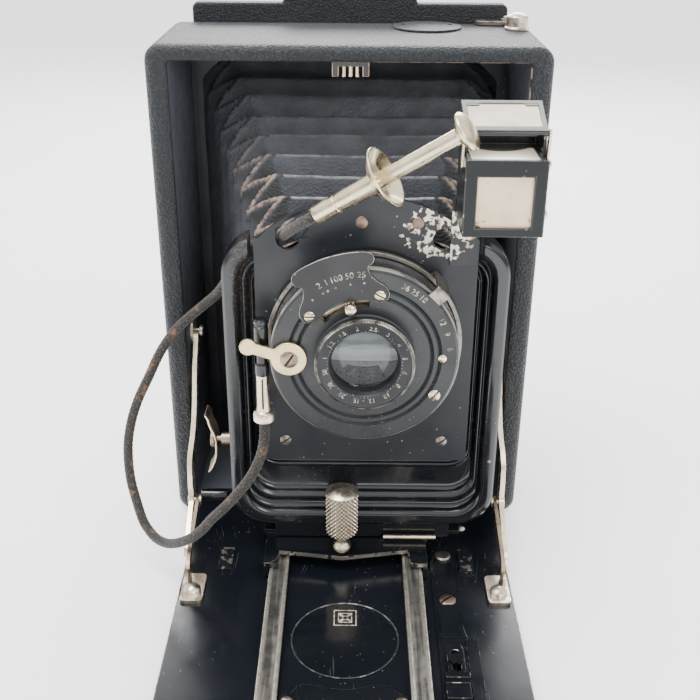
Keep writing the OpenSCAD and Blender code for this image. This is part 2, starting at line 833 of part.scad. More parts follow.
module cable_socket() {
    color(nickel) translate([socket_x, front - socket_d, 0]) {
        translate([0, 0, socket_low]) cylinder(r = 3.1, h = 3.6);
        translate([0, 0, socket_low + 3.6]) cylinder(r = 2.05, h = 15.6);
        translate([0, 0, 80.2]) cylinder(r = 1.5, h = 5);
        translate([0, 0, 85.2]) cylinder(r = 2.05, h = 8);
        translate([0, 0, 93.2]) dome(2.05, 0.8);
        translate([0, -1, 80.6]) cube([2.4, 2, 4]);
    }
}

function ring_frame(points, i, n) =
    let (ahead = i == len(points) - 1 ? points[i] - points[i - 1] : points[i + 1] - points[i],
         behind = i == 0 ? ahead : points[i] - points[i - 1],
         along = i == 0 || i == len(points) - 1 ? unit(ahead) : unit(unit(ahead) + unit(behind)),
         side = unit(n - (n * along) * along))
    [side, cross(along, side)];

function ring_frames(points, i = 0, n = [1, 0, 0]) =
    i == len(points) ? [] :
    let (here = ring_frame(points, i, n)) concat([here], ring_frames(points, i + 1, here[0]));

// Tube swept along a list of points, closed at both ends.
module tube(points, r, sides) {
    frames = ring_frames(points);
    rings = len(points);
    corners = [for (i = [0:rings - 1], k = [0:sides - 1])
        let (a = 360 * k / sides) points[i] + r * (cos(a) * frames[i][0] + sin(a) * frames[i][1])];
    walls = [for (i = [0:rings - 2], k = [0:sides - 1])
        let (a = i * sides + k, b = i * sides + (k + 1) % sides) [a, a + sides, b + sides, b]];
    first = [for (k = [0:sides - 1]) k];
    last = [for (k = [sides - 1:-1:0]) (rings - 1) * sides + k];
    polyhedron(corners, concat([first], walls, [last]));
}

module release_cord() {
    cord_points = [for (p = cord_route) world(p)];
    color(cord_brown) tube(cord_points, cord_dia / 2, 8);
}

module plunger_tube() {
    color(nickel) {
        on_plunger(0) cylinder(r = 2.6, h = 7);
        on_plunger(7) cylinder(r = 2.3, h = 0.8);
        on_plunger(7.8) difference() {
            cylinder(r1 = 2.5, r2 = 2.9, h = dish_s - 7.8);
            translate([0, 0, 0.6]) cylinder(r = rod_r + 0.05, h = 14);
        }
    }
}

module finger_dish() {
    color(nickel) on_plunger(dish_s) rotate_extrude() polygon([
        [rod_r + 0.05, 0], [2.9, 0], [5.6, 1.1], [dish_r, 3.2], [dish_r, 3.7], [dish_r - 0.5, 3.7],
        [5.4, 1.8], [3.2, 0.8], [rod_r + 0.05, 0.8]
    ]);
}

module plunger_rod() {
    color(nickel) {
        on_plunger(dish_s - 4.2) cylinder(r = rod_r, h = button_s - dish_s + 4.2);
        on_plunger(button_s) rotate_extrude() polygon([
            [0, 0], [rod_r, 0], [3.4, 0.5], [5.2, 1.4], [5.4, 2.2], [4.6, 3.1], [2.6, 3.7], [0, 3.9]
        ]);
    }
}

// ---- finder ----

module finder_bracket() {
    color(black) {
        slab(board_face, board_face + 1) translate([standard_x, 0]) {
            translate([23.6, 107]) square([7.6, 19.6]);
        }
        forward(finder_pivot_x, board_face + 1, finder_pivot_z) {
            cylinder(r = 1.5, h = 2.6);
            translate([0, 0, 1.5]) cylinder(r = 2.1, h = 1.1);
        }
    }
}

module finder_box() {
    d1 = finder_d + finder_depth;
    x1 = finder_x + finder_w;
    top = finder_low + finder_h;
    wall = 0.9;
    wall_d = 43.6;             // front ends of the side walls round the top glass
    color(black) difference() {
        union() {
            box_between([finder_x, front - d1, finder_low], [x1, front - finder_d, top]);
            box_between([finder_x, front - wall_d, top - 0.4], [x1, front - finder_d, top + 5]);
        }
        box_between([finder_x + wall, front - wall_d - 0.4, top], [x1 - wall, front - finder_d - wall, top + 6]);
        box_between([finder_x + 1, front - d1 + 1, finder_low + 1], [x1 - 1, front - finder_d - 1, top - 1]);
        box_between([33, front - d1 - 1, 124.4], [47.4, front - d1 + 2, 137.9]);
        box_between([finder_x + 1.8, front - d1 + 1.8, top - 2], [x1 - 1.8, front - finder_d - 1.8, top + 1]);
        forward(finder_pivot_x, 30, finder_pivot_z) cylinder(r = 1.55, h = 5);
    }
}

// Front window and ground top glass; the mirror lies between them at 45 degrees.
module finder_glasses() {
    d1 = finder_d + finder_depth;
    top = finder_low + finder_h;
    color(glass_tint) {
        box_between([32.2, front - d1 + 1, 123.6], [48.2, front - d1 + 1.8, 138.7]);
        box_between([finder_x + 1, front - d1 + 2, top - 2], [finder_x + finder_w - 1, front - finder_d - 1.2, top - 1]);
        translate([finder_x + 2, front - d1 + 2.4, finder_low + 1.6]) rotate([45, 0, 0])
            cube([finder_w - 4, 16.5, 0.6]);
    }
}

// Lid of the finder with its mirror, raised on the side arms.
module finder_hood() {
    color(black) translate([finder_x, front - hood_axis_d, hood_axis_z]) {
        rotate([hood_open, 0, 0]) translate([0, 0.7, -0.4]) cube([finder_w, 14, 0.8]);
        for (x = [0.4, finder_w - 4.4]) translate([x, 0, 0]) rotate([0, 90, 0]) ring(1, 0.55, 4);
    }
}

// Side arms of the finder, their screws and the rod that the lid turns on.
module finder_hood_arms() {
    thick = 0.6;
    color(nickel) {
        translate([finder_x - thick, front - hood_axis_d, hood_axis_z]) rotate([0, 90, 0])
            cylinder(r = 0.5, h = finder_w + 2 * thick);
        for (x = [finder_x - thick, finder_x + finder_w]) {
            side_slab(x, x + thick)
                bar2d([front - hood_axis_d, hood_axis_z], [front - arm_foot_d, arm_foot_z], 2.4);
        }
        translate([finder_x + finder_w + thick, front - arm_foot_d, arm_foot_z]) rotate([0, 90, 0]) dome(1.6, 1);
        translate([finder_x + finder_w, front - arm_foot_d, 126.4]) rotate([0, 90, 0]) {
            cylinder(r = 2.2, h = 0.7);
            translate([0, 0, 0.7]) dome(1.7, 1);
        }
    }
}

case_shell();
rear_panel();
back_guides();
back_frame();
ground_glass();
hood_walls();
hood_lid();
hood_lid_pin();
bed_board();
bed_liner();
tripod_bush();
hinge_knuckles();
hinge_pin();
rails();
oval_plate();
front_stop_plate();
stop_base();
infinity_stop();
scale_strip();
bed_screws();
strut_brackets();
strut_links();
strut_arms();
strut_pins();
door_catch_plate();
door_catch_springs();
top_cover_plate();
back_catch_post();
back_catch_arm();
bellows_rear_frame();
bellows();
carriage();
cross_rod();
clamp_knob();
standard_frame();
standard_foot();
rise_lever();
lens_board();
board_screws();
shutter_case();
shutter_cover();
shutter_blades();
iris_blades();
speed_plate();
speed_ring();
aperture_pointer();
release_lever();
front_cell();
lens_glasses();
rear_cell();
cable_socket();
release_cord();
plunger_tube();
finger_dish();
plunger_rod();
finder_bracket();
finder_box();
finder_glasses();
finder_hood();
finder_hood_arms();
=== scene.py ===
import json
import math

import bmesh
import bpy
from mathutils import Matrix, Vector, noise


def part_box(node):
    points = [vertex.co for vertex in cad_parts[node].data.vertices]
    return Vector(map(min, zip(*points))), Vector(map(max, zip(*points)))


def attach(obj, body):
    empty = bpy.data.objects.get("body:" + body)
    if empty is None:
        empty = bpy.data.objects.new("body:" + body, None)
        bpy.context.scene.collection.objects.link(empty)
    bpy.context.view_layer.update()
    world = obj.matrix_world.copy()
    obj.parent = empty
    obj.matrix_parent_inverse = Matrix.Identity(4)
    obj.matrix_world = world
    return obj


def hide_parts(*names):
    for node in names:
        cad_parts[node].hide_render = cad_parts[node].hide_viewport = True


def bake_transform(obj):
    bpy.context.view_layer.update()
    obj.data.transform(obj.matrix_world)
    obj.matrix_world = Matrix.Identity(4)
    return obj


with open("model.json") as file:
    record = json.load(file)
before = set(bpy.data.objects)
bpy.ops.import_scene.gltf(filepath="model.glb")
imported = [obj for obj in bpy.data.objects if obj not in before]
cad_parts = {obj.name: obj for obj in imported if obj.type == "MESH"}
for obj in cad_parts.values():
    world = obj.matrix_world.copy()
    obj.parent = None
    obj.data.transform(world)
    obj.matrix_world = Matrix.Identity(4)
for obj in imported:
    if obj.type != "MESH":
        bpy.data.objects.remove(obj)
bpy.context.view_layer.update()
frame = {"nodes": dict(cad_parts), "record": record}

MM = 0.001
BODY_OF = {n: b for b, names in frame["record"]["behaviour"]["bodies"].items() for n in names}


# ---- places taken from the frame ----

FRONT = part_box("case_shell")[0].y                    # front plane of the case


def at(x, d, z):
    """A point in metres from x, distance d in front of the case and height z, in millimetres."""
    return Vector((x * MM, FRONT - d * MM, z * MM))


def middle(node):
    low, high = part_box(node)
    return (low + high) / 2


def depth_of(y):
    """Distance in front of the case, in millimetres."""
    return (FRONT - y) / MM


LENS = middle("shutter_case")
COVER_D = depth_of(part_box("shutter_cover")[0].y)     # front face of the shutter cover
BED_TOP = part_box("bed_liner")[1].z


def facing_front(x, d, z):
    """Local x is right, local y is up and local z points forward."""
    return Matrix.Translation(at(x, d, z)) @ Matrix.Rotation(math.radians(90), 4, "X")


def on_lens(d):
    return facing_front(LENS.x / MM, d, LENS.z / MM)


def inside(matrix, x, y, z):
    """A point given in millimetres along the matrix's own axes."""
    return matrix @ (Vector((x, y, z)) * MM)


def turned(matrix, degrees):
    return matrix @ Matrix.Rotation(math.radians(degrees), 4, "Z")


def circle(segments):
    return [math.tau * k / segments for k in range(segments)]


# ---- camera, light and floor ----

CAMERA_PLACE = (0.0009, -0.2712, 0.2085)             # metres
CAMERA_TURN = (-0.01, 25.94, -0.44)                  # yaw, pitch downwards and roll, in degrees
CAMERA_LENS = 51.14                                  # focal length on the sensor's width, in millimetres


def add_camera():
    yaw, pitch, roll = (math.radians(angle) for angle in CAMERA_TURN)
    ahead = Vector((math.sin(yaw) * math.cos(pitch), math.cos(yaw) * math.cos(pitch), -math.sin(pitch)))
    level = Vector((math.cos(yaw), -math.sin(yaw), 0))
    below = ahead.cross(level)
    right = math.cos(roll) * level + math.sin(roll) * below
    down = -math.sin(roll) * level + math.cos(roll) * below
    data = bpy.data.cameras.new("camera")
    data.sensor_width = 36
    data.lens = CAMERA_LENS
    data.clip_start = 0.01
    camera = bpy.data.objects.new("camera", data)
    bpy.context.scene.collection.objects.link(camera)
    turn = Matrix((right, -down, -ahead)).transposed().to_4x4()
    camera.matrix_world = Matrix.Translation(Vector(CAMERA_PLACE)) @ turn
    bpy.context.scene.camera = camera


def add_light(name, place, target, size, power):
    data = bpy.data.lights.new(name, "AREA")
    data.shape = "RECTANGLE"
    data.size, data.size_y = size
    data.energy = power
    light = bpy.data.objects.new(name, data)
    bpy.context.scene.collection.objects.link(light)
    light.location = place
    light.rotation_euler = (Vector(target) - Vector(place)).to_track_quat("-Z", "Y").to_euler()


def add_stage():
    world = bpy.data.worlds.new("soft_white")
    bpy.context.scene.world = world
    world.use_nodes = True
    tree = world.node_tree
    backdrop = tree.nodes["Background"]
    direction = tree.nodes.new("ShaderNodeTexCoord").outputs["Generated"]
    height = tree.nodes.new("ShaderNodeSeparateXYZ")
    ramp = tree.nodes.new("ShaderNodeMapRange")
    ramp.interpolation_type = "SMOOTHSTEP"
    for name, value in (("From Min", 0.08), ("From Max", 0.45), ("To Min", 0.36), ("To Max", 1.0)):
        ramp.inputs[name].default_value = value
    tree.links.new(direction, height.inputs[0])
    tree.links.new(height.outputs["Z"], ramp.inputs["Value"])
    tree.links.new(ramp.outputs[0], backdrop.inputs["Color"])
    backdrop.inputs["Strength"].default_value = 1.6
    add_light("top_light", (-0.2, -0.1, 0.8), (0, 0, 0.06), (0.45, 0.45), 7.0)
    add_light("front_light", (0.35, -0.75, 0.5), (0, 0, 0.07), (0.4, 0.3), 3.0)
    add_light("back_light", (0.05, 0.7, 0.5), (0, 0, 0.12), (0.7, 0.3), 9.0)
    floor = box_object("floor", Vector((-2, -2, -0.011)), Vector((2, 2, -0.0005)))
    floor.data.materials.append(plain_floor())


# ---- materials ----

class Finish:
    """A material under construction: noise, masks and mixes in the row's own metres."""

    def __init__(self, name, roughness=0.5, metallic=0.0):
        self.material = bpy.data.materials.new(name)
        self.material.use_nodes = True
        self.tree = self.material.node_tree
        self.shader = self.tree.nodes["Principled BSDF"]
        self.shader.inputs["Roughness"].default_value = roughness
        self.shader.inputs["Metallic"].default_value = metallic
        self.place = self.tree.nodes.new("ShaderNodeTexCoord").outputs["Object"]

    def node(self, kind, inputs=(), **settings):
        made = self.tree.nodes.new(kind)
        for key, value in settings.items():
            setattr(made, key, value)
        for key, value in dict(inputs).items():
            if isinstance(value, bpy.types.NodeSocket):
                self.tree.links.new(value, made.inputs[key])
            else:
                made.inputs[key].default_value = value
        return made

    def stretched(self, x, y, z):
        return self.node("ShaderNodeMapping", {"Vector": self.place, "Scale": (x, y, z)}).outputs[0]

    def noise(self, scale, detail=3.0, vector=None):
        inputs = {"Vector": vector or self.place, "Scale": scale, "Detail": detail}
        return self.node("ShaderNodeTexNoise", inputs).outputs["Fac"]

    def cells(self, scale, feature="F1", vector=None):
        inputs = {"Vector": vector or self.place, "Scale": scale}
        return self.node("ShaderNodeTexVoronoi", inputs, feature=feature).outputs["Distance"]

    def step(self, value, low, high, start=0.0, end=1.0):
        inputs = {"Value": value, "From Min": low, "From Max": high, "To Min": start, "To Max": end}
        return self.node("ShaderNodeMapRange", inputs, interpolation_type="SMOOTHSTEP").outputs[0]

    def math(self, operation, a, b=0.0):
        return self.node("ShaderNodeMath", {0: a, 1: b}, operation=operation).outputs[0]

    def distance(self, point, scale=(1, 1, 1)):
        """Distance from a point, with each axis scaled; 0 leaves an axis out."""
        moved = self.node("ShaderNodeVectorMath", {0: self.place, 1: point}, operation="SUBTRACT").outputs[0]
        scaled = self.node("ShaderNodeVectorMath", {0: moved, 1: scale}, operation="MULTIPLY").outputs[0]
        return self.node("ShaderNodeVectorMath", {0: scaled}, operation="LENGTH").outputs["Value"]

    def times(self, a, b):
        return self.math("MULTIPLY", a, b)

    def mix(self, factor, a, b):
        a, b = (value if isinstance(value, bpy.types.NodeSocket) else (*value, 1) for value in (a, b))
        return self.node("ShaderNodeMix", {0: factor, 6: a, 7: b}, data_type="RGBA").outputs[2]

    def layer(self, name):
        return self.node("ShaderNodeAttribute", attribute_name=name).outputs["Fac"]

    def colour(self, value):
        return self.set("Base Color", value)

    def mottled_roughness(self, scale, detail, smooth, rough, high=0.7):
        """Roughness that drifts between two values."""
        return self.set("Roughness", self.step(self.noise(scale, detail), 0.3, high, smooth, rough))

    def set(self, socket, value):
        if isinstance(value, bpy.types.NodeSocket):
            self.tree.links.new(value, self.shader.inputs[socket])
        elif hasattr(value, "__len__"):
            self.shader.inputs[socket].default_value = (*value, 1)
        else:
            self.shader.inputs[socket].default_value = value
        return self

    def bump(self, height, distance, strength=1.0):
        inputs = {"Height": height, "Distance": distance, "Strength": strength}
        self.set("Normal", self.node("ShaderNodeBump", inputs).outputs[0])
        return self


def dimmed(tone, share):
    return tuple(share * c for c in tone)


def plain_floor():
    f = Finish("floor_white", 0.8)
    f.colour(f.mix(f.noise(3), (0.88, 0.88, 0.88), (0.92, 0.92, 0.92)))
    f.set("Emission Color", (1.0, 1.0, 1.0))
    f.set("Emission Strength", 0.8)
    return f.material


def pebbled_leather(name="case_leather", grain=1500, dark=(0.006, 0.008, 0.010), light=(0.020, 0.023, 0.028)):
    """Black leather with a blue-grey bloom; crests are shinier than the valleys between them."""
    f = Finish(name)
    wobble = f.noise(260, 3)
    pebbles = f.cells(grain, "SMOOTH_F1")
    crest = f.step(pebbles, 0.10, 0.62, 1.0, 0.0)
    height = f.math("ADD", f.times(crest, 0.6), f.times(wobble, 0.7))
    patch = f.step(f.noise(34, 4), 0.3, 0.75, 0.5, 1.0)
    f.colour(f.mix(f.times(crest, patch), dark, light))
    f.set("Roughness", f.step(f.times(crest, patch), 0.2, 0.9, 0.58, 0.38))
    f.set("Specular IOR Level", 0.35)
    f.set("Sheen Weight", 0.16)
    return f.bump(height, 0.00042, 0.8).material


def specks(f, scale, size):
    """Dust: small dots, thinned out by a slow noise."""
    dots = f.step(f.cells(scale), size, size * 0.5)
    return f.times(dots, f.step(f.noise(scale * 0.11, 2), 0.5, 0.62))


def hairlines(f, scale, low, high):
    """Thin curved scratches that run mostly fore and aft."""
    drift = f.node("ShaderNodeTexNoise", {"Vector": f.place, "Scale": 14, "Detail": 1}).outputs["Color"]
    moved = f.node("ShaderNodeVectorMath", {0: drift, 1: (0.035, 0.0, 0.0)}, operation="MULTIPLY").outputs[0]
    bent = f.node("ShaderNodeVectorMath", {0: f.place, 1: moved}, operation="ADD").outputs[0]
    thin = f.node("ShaderNodeMapping", {"Vector": bent, "Scale": (1.0, 0.02, 0.3)}).outputs[0]
    lines = f.noise(scale, 1, thin)
    return f.times(f.step(lines, low, high), f.step(f.noise(55, 2), 0.5, 0.62))


def lacquer(name="black_lacquer", roughness=(0.07, 0.2), scratches=0.3, base=(0.005, 0.0065, 0.009), dust=0.5,
            shine=0.6):
    f = Finish(name)
    marks = f.times(hairlines(f, 1900, 0.70, 0.76), scratches)
    dirt = f.times(specks(f, 520, 0.10), dust)
    pale = f.math("MAXIMUM", dirt, f.times(marks, 0.35))
    f.colour(f.mix(pale, base, (0.30, 0.29, 0.27)))
    cloudy = f.step(f.noise(45, 4), 0.3, 0.7, *roughness)
    f.set("Roughness", f.math("ADD", f.times(marks, 0.25), cloudy))
    f.set("Specular IOR Level", shine)
    return f.bump(f.noise(60, 2), 0.0006, 0.12).material


def matt_black(name="matt_black", roughness=0.4, tone=(0.024, 0.028, 0.035)):
    f = Finish(name)
    base = f.mix(f.noise(70, 4), (0.012, 0.014, 0.018), tone)
    f.colour(f.mix(f.times(specks(f, 430, 0.12), 0.6), base, (0.3, 0.28, 0.24)))
    f.mottled_roughness(120, 4, roughness - 0.08, roughness + 0.1)
    return f.bump(f.noise(2600, 2), 0.00005, 0.5).material


def edge_tone(name, paint=(0.008, 0.009, 0.010), metal=(0.46, 0.43, 0.38), amount=0.5):
    """Paint along an edge, rubbed through to metal in patches; where the paint is lighter than the part's own
    coat, it is a painted edge highlight.
    """
    f = Finish(name)
    bare = f.step(f.noise(420, 5), 0.62 - 0.25 * amount, 0.70 - 0.2 * amount)
    f.colour(f.mix(bare, paint, metal))
    f.set("Metallic", bare)
    f.set("Roughness", f.step(bare, 0, 1, 0.22, 0.38))
    return f.material


def nickel(name="nickel", bright=(0.92, 0.79, 0.56), stain=(0.30, 0.21, 0.12), stains=0.4, roughness=0.2):
    f = Finish(name, metallic=1.0)
    spots = f.step(f.noise(480, 5), 0.66 - 0.14 * stains, 0.80 - 0.1 * stains)
    haze = f.mix(f.step(f.noise(110, 3), 0.35, 0.7), bright, dimmed(bright, 0.82))
    f.colour(f.mix(f.times(spots, 0.7), haze, stain))
    f.mottled_roughness(260, 4, roughness, roughness + 0.2, 0.75)
    return f.bump(f.noise(900, 3), 0.00004, 0.4).material


def polished_glass(name, tint=(0.9, 0.95, 0.97)):
    f = Finish(name, 0.02)
    f.colour(f.mix(f.noise(200, 2), tint, dimmed(tint, 0.97)))
    f.set("Transmission Weight", 1.0)
    f.set("IOR", 1.5)
    return f.material


def bellows_leather():
    """Black cloth-backed leather: a painted highlight along the forward ridges, painted shade in the hollows
    of the folded corners, and brown where the corners rub.
    """
    f = Finish("bellows_leather")
    ridge, corner = f.layer("ridge"), f.layer("corner")
    forward = f.step(f.distance(at(0, 22, 80), (0, 1, 0)), 0.045, 0.004)
    grain = f.cells(1500, "SMOOTH_F1")
    cloth = f.mix(forward, (0.036, 0.039, 0.048), (0.010, 0.012, 0.018))
    worn = f.mix(forward, (0.058, 0.061, 0.072), (0.020, 0.023, 0.032))
    # painted shade in the hollows of the folded corners
    hollow = f.times(f.step(corner, 0.12, 0.24), f.step(corner, 0.50, 0.27))
    shade = f.times(hollow, f.step(forward, 0.0, 0.7, 0.4, 0.95))
    skin = f.mix(f.step(f.noise(130, 4), 0.3, 0.75), cloth, worn)
    base = f.mix(shade, skin, (0.003, 0.004, 0.005))
    broken = f.step(f.noise(420, 4), 0.36, 0.58, 0.35, 1.0)
    # painted highlight along the forward ridges, broken up by noise
    rubbed = f.times(f.step(ridge, 0.86, 0.98), f.times(broken, forward))
    pale = f.mix(rubbed, base, (0.36, 0.37, 0.36))
    flecks = f.step(f.noise(620, 6), 0.36, 0.58, 0.2, 1.0)
    flecked = f.times(f.step(corner, 0.40, 0.8), flecks)
    brown_mask = f.times(flecked, f.step(forward, 0.0, 0.7))
    brown = f.mix(f.noise(240, 3), (0.16, 0.10, 0.068), (0.40, 0.30, 0.23))
    f.colour(f.mix(brown_mask, pale, brown))
    f.mottled_roughness(200, 3, 0.5, 0.68)
    return f.bump(f.math("ADD", grain, f.noise(600, 4)), 0.00026, 0.7).material


def braided_cotton():
    """Dark, dusty braid with a few rust-brown flecks; painted shade darkens the grooves between the strands.
    """
    f = Finish("braided_cotton", 0.85)
    fibre = f.noise(1900, 3)
    rust = f.step(f.math("ADD", f.noise(230, 4), f.times(f.noise(900, 2), 0.25)), 0.70, 0.80)
    # painted shade: the colour darkens towards the grooves between the strands
    dark = f.mix(f.layer("strand"), (0.007, 0.006, 0.006), (0.034, 0.029, 0.025))
    dusty = f.mix(f.times(f.step(fibre, 0.5, 0.68), 0.45), dark, (0.15, 0.12, 0.095))
    f.colour(f.mix(f.times(rust, 0.8), dusty, (0.17, 0.085, 0.045)))
    f.set("Sheen Weight", 0.2)
    return f.bump(fibre, 0.00018, 0.9).material


# ---- making meshes ----

def shade_smooth(mesh, angle):
    mesh.polygons.foreach_set("use_smooth", [True] * len(mesh.polygons))
    mesh.set_sharp_from_angle(angle=math.radians(angle))


def object_from(name, bm, *materials, angle=35):
    mesh = bpy.data.meshes.new(name)
    bmesh.ops.remove_doubles(bm, verts=bm.verts, dist=1e-7)
    bmesh.ops.recalc_face_normals(bm, faces=bm.faces)
    bm.to_mesh(mesh)
    bm.free()
    for material in materials:
        mesh.materials.append(material)
    shade_smooth(mesh, angle)
    obj = bpy.data.objects.new(name, mesh)
    bpy.context.scene.collection.objects.link(obj)
    return obj


def box_object(name, low, high):
    bm = bmesh.new()
    size = high - low
    matrix = Matrix.Translation((low + high) / 2) @ Matrix.Diagonal((*size, 1))
    bmesh.ops.create_cube(bm, size=1, matrix=matrix)
    return object_from(name, bm)


def bake(obj):
    """Makes the modifiers' result the object's own mesh."""
    graph = bpy.context.evaluated_depsgraph_get()
    mesh = bpy.data.meshes.new_from_object(obj.evaluated_get(graph))
    obj.modifiers.clear()
    obj.data = mesh


def bevel(obj, width, segments=2, edge_slot=0, angle=35):
    modifier = obj.modifiers.new("bevel", "BEVEL")
    modifier.width = width * MM
    modifier.segments = segments
    modifier.limit_method = "ANGLE"
    modifier.angle_limit = math.radians(angle)
    modifier.material = edge_slot
    weighted = obj.modifiers.new("normals", "WEIGHTED_NORMAL")
    weighted.keep_sharp = True
    bake(obj)
    return obj


def cut(obj, low, high):
    """Takes a box out of a closed mesh."""
    tool = box_object("cutter", Vector(map(min, low, high)), Vector(map(max, low, high)))
    modifier = obj.modifiers.new("cut", "BOOLEAN")
    modifier.object = tool
    modifier.operation = "DIFFERENCE"
    modifier.solver = "EXACT"
    bake(obj)
    shade_smooth(obj.data, 35)
    bpy.data.objects.remove(tool)


def loft(bm, loops, ring=False, slots=None):
    """Skins loops of equal length; ring joins the last loop to the first, otherwise both ends are capped."""
    rows = [[bm.verts.new(p) for p in loop] for loop in loops]
    count = len(rows[0])
    spans = len(rows) if ring else len(rows) - 1
    for i in range(spans):
        a, b = rows[i], rows[(i + 1) % len(rows)]
        for k in range(count):
            j = (k + 1) % count
            face = bm.faces.new((a[k], a[j], b[j], b[k]))
            face.material_index = slots[i] if slots else 0
    if not ring:
        bm.faces.new(rows[0])
        bm.faces.new(rows[-1])


def lathe(bm, profile, matrix, segments=72, relief=None):
    """Turns (radius, height) points, in millimetres, about the matrix's own z."""
    loops = []
    for r, h in profile:
        loop = []
        for a in circle(segments):
            real = max(r + (relief(r, a, h) if relief else 0), 0.0005)
            loop.append(inside(matrix, real * math.cos(a), real * math.sin(a), h))
        loops.append(loop)
    loft(bm, loops)


def extrude(bm, outline, matrix, low, high):
    """A flat outline, in millimetres, made thick along the matrix's own z."""
    loft(bm, [[inside(matrix, x, y, h) for x, y in outline] for h in (low, high)])


def hoop(bm, section, matrix, segments):
    """Turns a closed (radius, height) section into an open ring."""
    loft(bm, [[inside(matrix, r * math.cos(a), r * math.sin(a), h) for r, h in section]
              for a in circle(segments)], ring=True)


def rectangle(x0, x1, y0, y1):
    return [(x0, y0), (x1, y0), (x1, y1), (x0, y1)]


def rounded_box(x0, x1, z0, z1, r, corner=8):
    """Outline points, counter-clockwise from the right side's lower end."""
    centres = ((x1 - r, z0 + r), (x1 - r, z1 - r), (x0 + r, z1 - r), (x0 + r, z0 + r))
    points = []
    for quarter, (cx, cz) in enumerate(centres):
        for k in range(corner + 1):
            a = math.radians(90 * (quarter - 1) + 90 * k / corner)
            points.append((cx + r * math.cos(a), cz + r * math.sin(a)))
    return points


def place(obj, node):
    """obj stands for a CAD node and rides on its body."""
    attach(obj, BODY_OF[node])
    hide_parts(node)
    return obj


def extra(body, name, bm, *materials, angle=35):
    """A visual piece that stands for no CAD node of its own."""
    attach(object_from(name, bm, *materials, angle=angle), body)


def soften(node, width, material, edge=None, segments=2, other=None, where=None):
    """A rounded copy of a CAD node, which stands for it; faces in `where` take the other material."""
    bm = bmesh.new()
    bm.from_mesh(frame["nodes"][node].data)
    bmesh.ops.remove_doubles(bm, verts=bm.verts, dist=2e-6)
    bmesh.ops.dissolve_limit(bm, angle_limit=math.radians(1.5), verts=bm.verts, edges=bm.edges)
    for face in bm.faces:
        face.material_index = 2 if where and where(face.calc_center_median()) else 0
    obj = object_from(node + "_finish", bm, material, edge or material, other or material)
    bevel(obj, width, segments, 1 if edge else -1)
    return place(obj, node)


def paint(material, *nodes):
    for node in nodes:
        slots = frame["nodes"][node].data.materials
        slots.clear()
        slots.append(material)


add_camera()
add_stage()

LEATHER = pebbled_leather()
FINE_LEATHER = pebbled_leather("back_leather", 2100)
GLOSS = lacquer()
BED_GLOSS = lacquer("bed_lacquer", (0.14, 0.26), 0.5, (0.0055, 0.0072, 0.0105), 0.8, 0.4)
BOX_BLACK = lacquer("box_lacquer", (0.16, 0.3), 0.2, (0.006, 0.008, 0.009), 0.6, 0.3)
DULL = matt_black()
SATIN = matt_black("satin_black", 0.3)
NICKEL = nickel()
STAINED = nickel("stained_nickel", (0.78, 0.70, 0.58), stains=1.2, roughness=0.28)
BRASS = nickel("aged_brass", (0.62, 0.47, 0.28), (0.16, 0.09, 0.05), 1.0, 0.3)
COPPER = nickel("dull_copper", (0.31, 0.225, 0.18), (0.12, 0.08, 0.06), 1.0, 0.36)
STEEL = nickel("dark_steel", (0.34, 0.31, 0.27), (0.10, 0.08, 0.07), 0.9, 0.3)
BROWNED = nickel("browned_nickel", (0.40, 0.31, 0.23), (0.14, 0.09, 0.06), 1.0, 0.34)
# painted shade for the floors of screw slots and the collar's slit
SLOT_SHADE = matt_black("slot_painted_shade", 0.6, (0.03, 0.02, 0.015))
CREAM = nickel("cream_nickel", (0.90, 0.73, 0.40), (0.34, 0.24, 0.12), 0.3, 0.22)
LINE = edge_tone("bright_line", (0.20, 0.195, 0.18), (0.46, 0.44, 0.40), 0.9)
BOARD_EDGE = edge_tone("board_edge", (0.05, 0.045, 0.04), (0.50, 0.42, 0.33), 0.85)
# painted highlight: a lighter paint on the bevelled edges stands for the light they catch
EDGE_HIGHLIGHT = edge_tone("painted_edge_highlight", (0.020, 0.022, 0.024), (0.30, 0.29, 0.27), 0.0)
# painted highlight along the rounded rim of the round plate
RIM_HIGHLIGHT = edge_tone("painted_rim_highlight", (0.030, 0.032, 0.034), (0.20, 0.20, 0.19), 0.5)
WORN = edge_tone("edge_tone", metal=(0.36, 0.34, 0.31), amount=0.3)
RUBBED = edge_tone("rubbed_edge", amount=0.9)
GLASS = polished_glass("lens_glass")


# ---- release cable ----

# The route of part.scad: x, distance in front of the case, height, in millimetres.
CORD_ROUTE = [
    (-24.4, 40, 61), (-24.4, 40, 56), (-25.2, 41.5, 51), (-26.8, 43, 47), (-28.8, 44, 43.5),
    (-32, 44.5, 39), (-36.5, 44.5, 33.5), (-41, 44, 28.5), (-44.2, 43.5, 24.2), (-48, 42.5, 20.2),
    (-52.5, 40, 16.4), (-57, 36.5, 13.4), (-61, 33, 12.5), (-64, 30, 13.5), (-66.4, 27.5, 16),
    (-68.5, 25, 22), (-70.2, 22.5, 28), (-71, 20, 34), (-71, 17.5, 40), (-69.8, 15, 46.5),
    (-67.5, 13, 53), (-64, 11, 60), (-60, 9.5, 68), (-55.5, 8.5, 74.5), (-50, 8, 80),
    (-45, 8.5, 84.5), (-40.5, 10, 89), (-36.5, 12.5, 95), (-33, 15, 101),
    (-29.5, 17.5, 106), (-25, 20.7, 110.2), (-20.8, 25, 112.6), (-18.2, 29, 114.9),
    (-16.6, 32.8, 117.2), (-14.8, 36.4, 119.6), (-12.2, 39.2, 122.1), (-10.4, 40.4, 123.4),
    (-8.55, 40.95, 124.7),
]
CORD_DIAMETER = 3.2 * MM
STRANDS = 7                                          # pairs of strands round the braid
BRAID_PITCH = 0.8                                    # turns of twist per length of one radius
BRAID_RELIEF = 0.13                                  # depth between the strands, in millimetres


